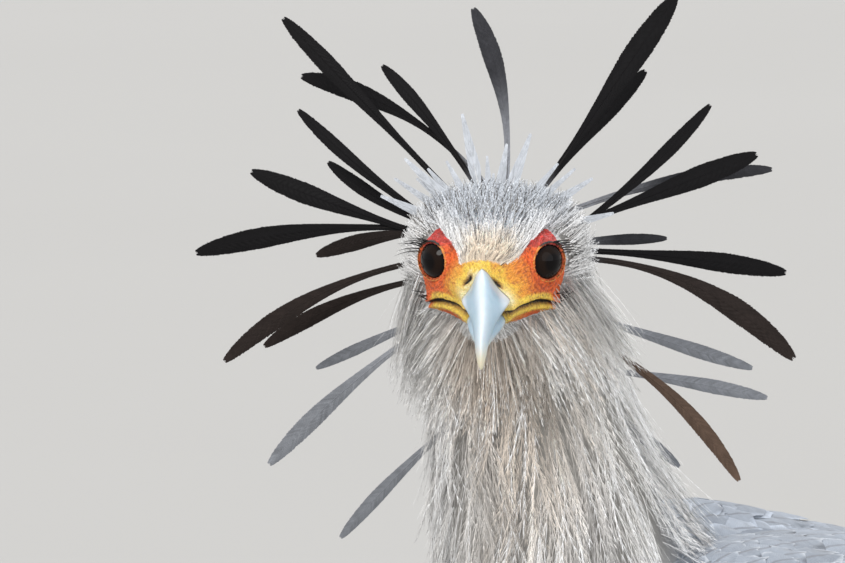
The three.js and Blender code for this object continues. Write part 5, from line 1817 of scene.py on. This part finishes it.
def body_feathers(name, stations, spacing, length, half, seed, loose=False):
    where = rows_on(torso, stations, spacing, (0, 2 * math.pi), seed, 0.35)
    draw = np.random.default_rng(seed)
    count = len(where)
    steps = 7 if loose else 5
    t = np.linspace(0, 1, steps)
    rise = (3.5 if loose else 2.2) * draw.uniform(0.6, 1.4, count)
    off = -4 + (rise[:, None] + 4) * t[None, :] ** 0.7
    run = length * draw.uniform(0.8, 1.15, count)
    frames = laid(torso, where, run, draw.normal(0, 0.03, count), off, steps)
    root, tip = frames[0][:, 0], frames[0][:, -1]
    covered = neck.inside(root, -4) & neck.inside(tip, -2)
    covered |= (root[:, 2] > 795) & (root[:, 1] > (-150 if loose else -142))
    for side_wing in (wing, wing_right):
        covered |= side_wing.inside(root, -7) & side_wing.inside(tip, -5)
    for side_thigh in (thigh, thigh_right):
        covered |= side_thigh.inside(root, -6) & side_thigh.inside(tip, -4)
    where, frames = where[~covered], kept(frames, ~covered)
    frames = tilted(frames, draw.normal(0, 0.08, len(where)))
    tones = varied(body_tone(frames[0][:, 0]), 0.12, seed + 1)
    roots = root_places(where, *BODY_MAP)
    if loose:
        plume_feathers(name, frames, 6.5, tones, np.clip(tones * 1.2, 0, 0.8), roots, spread=0.42, width=0.5,
                       shaft=0.5, seed=seed)
    else:
        width = feather_half(t, 2.5, half, 0.6, 0.15) * draw.uniform(0.85, 1.15, (len(where), 1))
        vane_feathers(name, frames, width, tones, np.clip(tones * 1.25, 0, 0.8), roots, cells=4, camber=0.25,
                      ragged=1.2, seed=seed)


body_feathers("body_feathers", np.arange(-208, 212, 9.5), 10.5, 27, 8.5, 71)
body_feathers("body_plumes", np.arange(-206, 206, 11), 9.5, 26, 8, 73, loose=True)

# %% [markdown]
# The back between the wings is covered by the scapulars, closed feathers that grow longer towards the
# rump.

# %% Feathers of the back
stations = np.concatenate([np.arange(-160, 0, 10.0), np.arange(0, 210, 15.0)])
where = rows_on(mantle, stations, 12.5, (math.radians(28), math.radians(152)), 75, 0.3)
draw = np.random.default_rng(75)
count, steps = len(where), 7
length = (28 + 40 * ramp(where[:, 0], -120, 180)) * draw.uniform(0.85, 1.15, count)
t = np.linspace(0, 1, steps)
off = -5 + 6.5 * draw.uniform(0.8, 1.2, count)[:, None] * np.minimum(t * 1.7, 1) ** 0.7
frames = laid(mantle, where, length, draw.normal(0, 0.02, count), off, steps)
half = feather_half(t, 3, 8.5, 0.65, 0.2) * (1 + 0.35 * ramp(where[:, 0], -60, 180))[:, None]
tones = varied(body_tone(frames[0][:, 0]), 0.1, 76)
vane_feathers("mantle_feathers", frames, half, tones, np.clip(tones * 1.45, 0, 0.8),
              root_places(where, *BODY_MAP), cells=5, camber=0.22, ragged=0.8, seed=75)

# %% [markdown]
# ## Wings
# A folded wing is a set of tiers: rows of small coverts over the shoulder, then the larger coverts,
# the black flight feathers under them along the lower edge, the long inner feathers over the rump, and
# the primaries that come to a point over the tail. Each tier lies on the one below it. Loose plumes
# soften the bend of the wing.

# %% Wing feathers


def wing_angle(down):
    return np.radians(102 - 144 * down)


COVERT = np.array([0.27, 0.30, 0.345])
COVERT_RIM = np.array([0.50, 0.53, 0.57])
INNER = np.array([0.20, 0.225, 0.26])
FLIGHT = np.array([0.030, 0.030, 0.034])
# A row: where its tips end above and below, how many, their length, half width and lift, their colour.
WING_TIERS = [
    (350, 268, 16, 160, 11.0, 0.4, FLIGHT),
    (290, 186, 18, 190, 11.0, 0.8, FLIGHT),
    *((y, y - 26, 17, 34, 9.0, 4.4, COVERT) for y in range(-148, -50, 12)),
    *((y, y - 34, 16, 50, 10.0, 4.8, COVERT) for y in range(-44, 36, 19)),
    (62, -6, 15, 84, 10.5, 5.0, COVERT),
    (100, 24, 15, 96, 11.0, 4.2, COVERT * 0.9),
    (142, 62, 15, 110, 11.0, 3.4, INNER),
    (216, 118, 18, 170, 10.5, 2.0, FLIGHT),
]
WING_STEPS = 8

def wing_map(places):
    return np.clip(np.stack([places[:, 1], (places[:, 0] + 200) / 660], 1), 0.01, 0.98)


def wing_vanes(name, form, tiers, seed):
    """One piece with all the tiers. Where a tier is black, its upper feathers are still grey."""
    draw = np.random.default_rng(seed)
    t = np.linspace(0, 1, WING_STEPS)
    groups = []
    for upper_tip, lower_tip, count, length, half, lift, colour in tiers:
        down = (np.arange(count) + 0.5) / count * 0.96 + 0.04
        down = down + draw.normal(0, 0.12, count) / count
        tip = upper_tip + (lower_tip - upper_tip) * down + draw.uniform(-3, 3, count)
        where = np.stack([tip - length, wing_angle(down)], 1)
        off = -7 + (7 + lift) * np.minimum(t * 1.6, 1) ** 0.7 + draw.uniform(-0.4, 0.4, (count, 1))
        frames = laid(form, where, length, draw.normal(0, 0.012, count), off, WING_STEPS)
        half = feather_half(t, 3.5, half, 0.7, 0.2) * draw.uniform(0.92, 1.08, (count, 1))
        tone = np.tile(colour, (count, 1))
        if colour is FLIGHT:
            tone = blend_to(tone, INNER * 1.1, 1 - ramp(down, 0.28, 0.4))
        tone = varied(tone, 0.07, seed + len(groups))
        groups.append((*tilted(frames, np.full(count, 0.05)), half, tone, np.stack([tip, down], 1)))
    *frames, half, tone, places = (np.concatenate(part) for part in zip(*groups))
    rim = np.where(tone[:, :1] < 0.05, tone * 2.2, COVERT_RIM)
    piece = vane_feathers(name, frames, half, tone, rim, wing_map(places), cells=6, camber=0.2,
                          ragged=0.7, seed=seed)
    return piece


def primary_frames(steps, count=6):
    """The primaries of the folded hand, edge down, each a little higher, further out and shorter."""
    points, sides, faces = [], [], []
    side = np.array([0.5, 0.0, -0.86])
    for i in range(count):
        y = np.linspace(170, 428 - 29 * i, steps)
        row = wing.table(y)
        at = np.stack([row[:, 0] + row[:, 2] * 0.45, y, row[:, 1] + 1.3 * i], 1)
        along = unit(np.gradient(at, axis=0))
        face = unit(np.cross(side, along))
        points.append(at + face * 1.7 * i)
        sides.append(np.cross(along, face) * -1)
        faces.append(face)
    return np.array(points), np.array(sides), np.array(faces)

PRIMARY_STEPS = 20
for form, word, seed in ((wing, "left", 81), (wing_right, "right", 85)):
    coverts = wing_vanes("wing_feathers_" + word, form, WING_TIERS, seed)
    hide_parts("wing_" + word)
    steps, count = 16, 9
    down = np.linspace(0.0, 0.5, count)
    tip = 330 - 12 * np.arange(count)
    t = np.linspace(0, 1, steps)
    where = np.stack([np.full(count, 88.0), wing_angle(down)], 1)
    off = -7 + (7 + 5.5 - 0.5 * np.arange(count)[:, None]) * np.minimum(t * 2, 1) ** 0.7
    frames = laid(form, where, tip - 88.0, 0.0, off, steps)
    tone = INNER * np.linspace(1.1, 0.45, count)[:, None]
    vane_feathers("inner_feathers_" + word, frames, feather_half(t, 4, 11.5, 0.7, 0.15), tone,
                  np.clip(tone * 1.55, 0, 0.8), wing_map(np.stack([tip, down], 1)), cells=10, camber=0.16,
                  ragged=0.4, seed=seed + 2)
    where = rows_on(form, np.arange(-186, -128, 5.5), 6.5, (0, 2 * math.pi), seed + 4, 0.4)
    draw = np.random.default_rng(seed + 4)
    count = len(where)
    off = -3 + (8 - 2.5 * ramp(where[:, :1], -160, -130)) * np.linspace(0, 1, WING_STEPS) ** 0.8
    run = 27 * draw.uniform(0.8, 1.2, count)
    frames = laid(form, where, run, draw.normal(0, 0.05, count), off, WING_STEPS)
    share = ramp(where[:, 0] + draw.normal(0, 8, count), -172, -140)
    tones = varied(blend_to(WHITE * 0.8, COVERT * 1.2, share), 0.12, seed + 5)
    places = np.stack([where[:, 0], (where[:, 1] / 6.3) % 1], 1)
    plume_feathers("shoulder_plumes_" + word, frames, 6.0, tones, np.clip(tones * 1.2, 0, 0.85),
                   wing_map(places), spread=0.4, width=0.5, shaft=0.5, seed=seed + 6)
    frames = primary_frames(PRIMARY_STEPS)
    if word == "right":
        frames = [mirror(part) for part in frames]
    half = feather_half(np.linspace(0, 1, PRIMARY_STEPS), 6, 12, 0.5, 0.2)
    tone = np.tile(FLIGHT, (len(frames[0]), 1))
    places = np.stack([frames[0][:, -1, 1], np.full(len(tone), 0.8)], 1)
    vane_feathers("primaries_" + word, frames, half, tone, tone * 2.5, wing_map(places), cells=8, camber=0.1,
                  ragged=0.25, seed=seed + 3)

# %% [markdown]
# ## Tail
# Ten feathers fan out from the rump and shorten outwards, grey with a black band and a white tip. The
# middle pair is more than twice as long, narrow and drooping. White coverts hide their roots above,
# and dark ones below.

# %% Tail feathers
TAIL_ROOT = np.array([0.0, 212.0, 710.0])
TAIL_SLOPE, TAIL_LAYER = 0.3, 2.6


def tail_frames(specs, steps):
    points, sides = [], []
    t = np.linspace(0, 1, steps)
    for side, inner, half, fan, length, sag, drop, lean in specs:
        run = length * t
        grow = np.interp(t, [0, 0.35, 1], [0.5, 0.97, 1.0])
        out = inner + half * grow + run * fan
        down = TAIL_ROOT[2] - drop - TAIL_SLOPE * run - sag * t**2
        points.append(np.stack([side * out, TAIL_ROOT[1] + run, down], 1))
        sides.append(np.tile([side * math.cos(lean), 0, -math.sin(lean)], (steps, 1)))
    return framed(np.array(points), [0.0, 0.0, 1.0], np.array(sides))


specs = []
for side in BOTH_SIDES:
    drop = (-TAIL_LAYER if side > 0 else 0) - TAIL_LAYER
    specs.append((side, -17.0, 19.0, 0.012, 534.0, 74.0, drop, 0.0))
    for i, length in enumerate((400.0, 372.0, 344.0, 316.0, 288.0)):
        specs.append((side, 0.4, 17.0, 0.02 * (i + 1), length, 10.0, TAIL_LAYER * (i + 0.6), 0.07))
TAIL_STEPS = 40
t = np.linspace(0, 1, TAIL_STEPS)
frames = tail_frames(specs, TAIL_STEPS)
half = np.array([spec[2] for spec in specs])[:, None] * feather_half(t, 0.4, 0.98, 0.55, 0.25)
lengths = np.array([spec[4] for spec in specs])
centre_pair = lengths > 500
left_over = (1 - t)[None, :] * lengths[:, None]
tone = np.broadcast_to(np.array([0.25, 0.27, 0.30]), (len(specs), TAIL_STEPS, 3))
band_start = np.where(centre_pair, 95.0, 130.0)[:, None]
band_end = np.where(centre_pair, 26.0, 24.0)[:, None]
tone = blend_to(tone, BLACK * 1.6, ramp(-left_over, -band_start - 14, -band_start))
tone = blend_to(tone, [0.62, 0.61, 0.58], ramp(-left_over, -band_end - 4, -band_end))
tail_map = np.stack([np.linspace(0.05, 0.95, len(specs)), np.full(len(specs), 0.5)], 1)
tail = vane_feathers("tail_feathers", frames, half, tone, tone * 1.1, tail_map, cells=10, camber=0.12,
                     ragged=0.2, seed=91)
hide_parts("tail")


def covert_ring(name, count, length, half, over, tone, seed):
    """Coverts round the root of the tail, above it or below it."""
    draw = np.random.default_rng(seed)
    steps = 8
    t = np.linspace(0, 1, steps)[None, :]
    share = draw.uniform(-1, 1, count)[:, None]
    start_y = 186 + draw.uniform(0, 26, count)[:, None]
    run = length * draw.uniform(0.6, 1.0, count)[:, None] * t
    x = share * (16 + 0.10 * run)
    y = start_y + run
    bow = np.sqrt(np.clip(1 - (share * 0.9) ** 2, 0, 1))
    z = TAIL_ROOT[2] - TAIL_SLOPE * (y - TAIL_ROOT[1]) + over * (bow * 9 * (1 - 0.6 * t) + 1.5)
    points = np.stack(np.broadcast_arrays(x, y, z), -1)
    lean = share * 0.7
    side = np.stack(np.broadcast_arrays(np.cos(lean), 0 * lean, -over * np.sin(lean)), -1)
    frames = framed(points, [0.0, 0.0, over], side * np.ones((count, steps, 1)))
    tones = varied(np.tile(tone, (count, 1)), 0.08, seed)
    places = np.stack([(share[:, 0] + 1) / 2 * 0.9 + 0.05, np.full(count, 0.3 if over > 0 else 0.7)], 1)
    vane_feathers(name, frames, feather_half(t, 3, half, 0.6, 0.2), tones, np.clip(tones * 1.2, 0, 0.85),
                  places, cells=5, camber=0.25, ragged=1.0, seed=seed)


covert_ring("upper_tail_coverts", 46, 120, 10, 1.0, [0.62, 0.62, 0.61], 93)
covert_ring("under_tail_coverts", 46, 110, 10, -1.0, [0.03, 0.03, 0.032], 95)

# %% [markdown]
# ## Thighs
# Black, shaggy feathers cover the thighs down to the heel joint like loose breeches.

# %% Thigh feathers
THIGH_MAP = (330, 400)


def thigh_feathers(name, form, seed, loose):
    stations = np.arange(668, 376, -8.5 if loose else -11)
    where = rows_on(form, stations, 7.5 if loose else 11, (0, 2 * math.pi), seed, 0.4)
    draw = np.random.default_rng(seed)
    count = len(where)
    steps = 8 if loose else 5
    t = np.linspace(0, 1, steps)
    room = np.clip(where[:, 0] - 345, 16, 44)
    run = -np.minimum(room, 40 if loose else 36) * draw.uniform(0.7, 1.25, count)
    rise = (5.0 if loose else 2.5) * draw.uniform(0.5, 1.5, count)
    off = -5 + (rise[:, None] + 5) * t[None, :] ** 0.8
    frames = laid(form, where, run, draw.normal(0, 0.05, count), off, steps)
    open_ = ~torso.inside(frames[0][:, -1], -6)
    where, frames = where[open_], kept(frames, open_)
    tones = varied(np.tile(BLACK * 1.3, (len(where), 1)), 0.2, seed + 1)
    roots = root_places(where, *THIGH_MAP)
    if loose:
        piece = plume_feathers(name, frames, 7.0, tones, tones * 1.5, roots, spread=0.36, width=0.5,
                               shaft=0.5, seed=seed)
    else:
        piece = vane_feathers(name, frames, feather_half(t, 3, 8.5, 0.6, 0.15), tones, tones * 1.6, roots,
                              cells=4, camber=0.25, ragged=1.5, seed=seed)


for form, word, seed in ((thigh, "left", 101), (thigh_right, "right", 105)):
    thigh_feathers("thigh_feathers_" + word, form, seed, False)
    thigh_feathers("thigh_plumes_" + word, form, seed + 2, True)

# %% [markdown]
# ## Floor, light and camera
# The model stands on a plain pale floor in soft light, as in a studio. The camera looks from the
# front of the bird's left side, a little above it, with a long lens, and frames the head and neck.
# Its place follows from the eyes: we know where they sit in the frame and how wide the frame is.

# %% Floor and light
FLOOR_HALF = 90.0
ready()
bpy.ops.mesh.primitive_plane_add(size=2 * FLOOR_HALF)
floor = just_made("studio_floor")
floor_finish = grained("floor", 0.9, 0.1, 0.8, 2.0, colours=((0.44, 0.43, 0.41), (0.46, 0.45, 0.43)))
floor.data.materials.append(floor_finish.material)

world = bpy.data.worlds.new("studio")
bpy.context.scene.world = world
world.use_nodes = True
world.node_tree.nodes["Background"].inputs[0].default_value = (0.86, 0.88, 0.92, 1)
world.node_tree.nodes["Background"].inputs[1].default_value = 0.95


def sun(name, azimuth, elevation, strength, spread, colour):
    """A soft sun that shines from an azimuth and elevation, in the same angles as the views."""
    ready()
    bpy.ops.object.light_add(type="SUN", location=(0, 0, 3))
    light = bpy.context.object
    light.name = name
    a, e = math.radians(azimuth), math.radians(elevation)
    towards = Vector((math.sin(a) * math.cos(e), -math.cos(a) * math.cos(e), math.sin(e)))
    light.rotation_euler = towards.to_track_quat("Z", "Y").to_euler()
    light.data.energy = strength
    light.data.angle = math.radians(spread)
    light.data.color = colour


sun("key", VIEW_TURN - 24, 36, 1.9, 26, (1.0, 0.98, 0.95))
sun("fill", VIEW_TURN + 40, 12, 0.9, 60, (0.96, 0.98, 1.0))
sun("back", VIEW_TURN + 165, 50, 0.8, 40, (1.0, 1.0, 1.0))

# %% Camera
IMAGE_WIDTH, IMAGE_HEIGHT = 845, 563
PIXEL = 0.4 * MM
EYES_RIGHT, EYES_UP = 491.5 - IMAGE_WIDTH / 2, IMAGE_HEIGHT / 2 - 259
DISTANCE = 5.6
ready()
bpy.ops.object.camera_add()
camera = bpy.context.object
camera.name = "photo_camera"
right, away, up = (Vector(FAN_TURN[:, i]) for i in range(3))
target = Vector(in_metres(EYES_MIDDLE)) - right * EYES_RIGHT * PIXEL - up * EYES_UP * PIXEL
camera.location = target - away * DISTANCE
camera.rotation_euler = away.to_track_quat("-Z", "Y").to_euler()
camera.data.sensor_width = 36
camera.data.lens = 36 * DISTANCE / (IMAGE_WIDTH * PIXEL)
camera.data.clip_end = 200
camera.data.dof.use_dof = False
bpy.context.scene.camera = camera
bpy.context.scene.view_settings.view_transform = "Standard"
print("lens", round(camera.data.lens), "mm at", DISTANCE, "m, camera height", round(camera.location.z, 2))
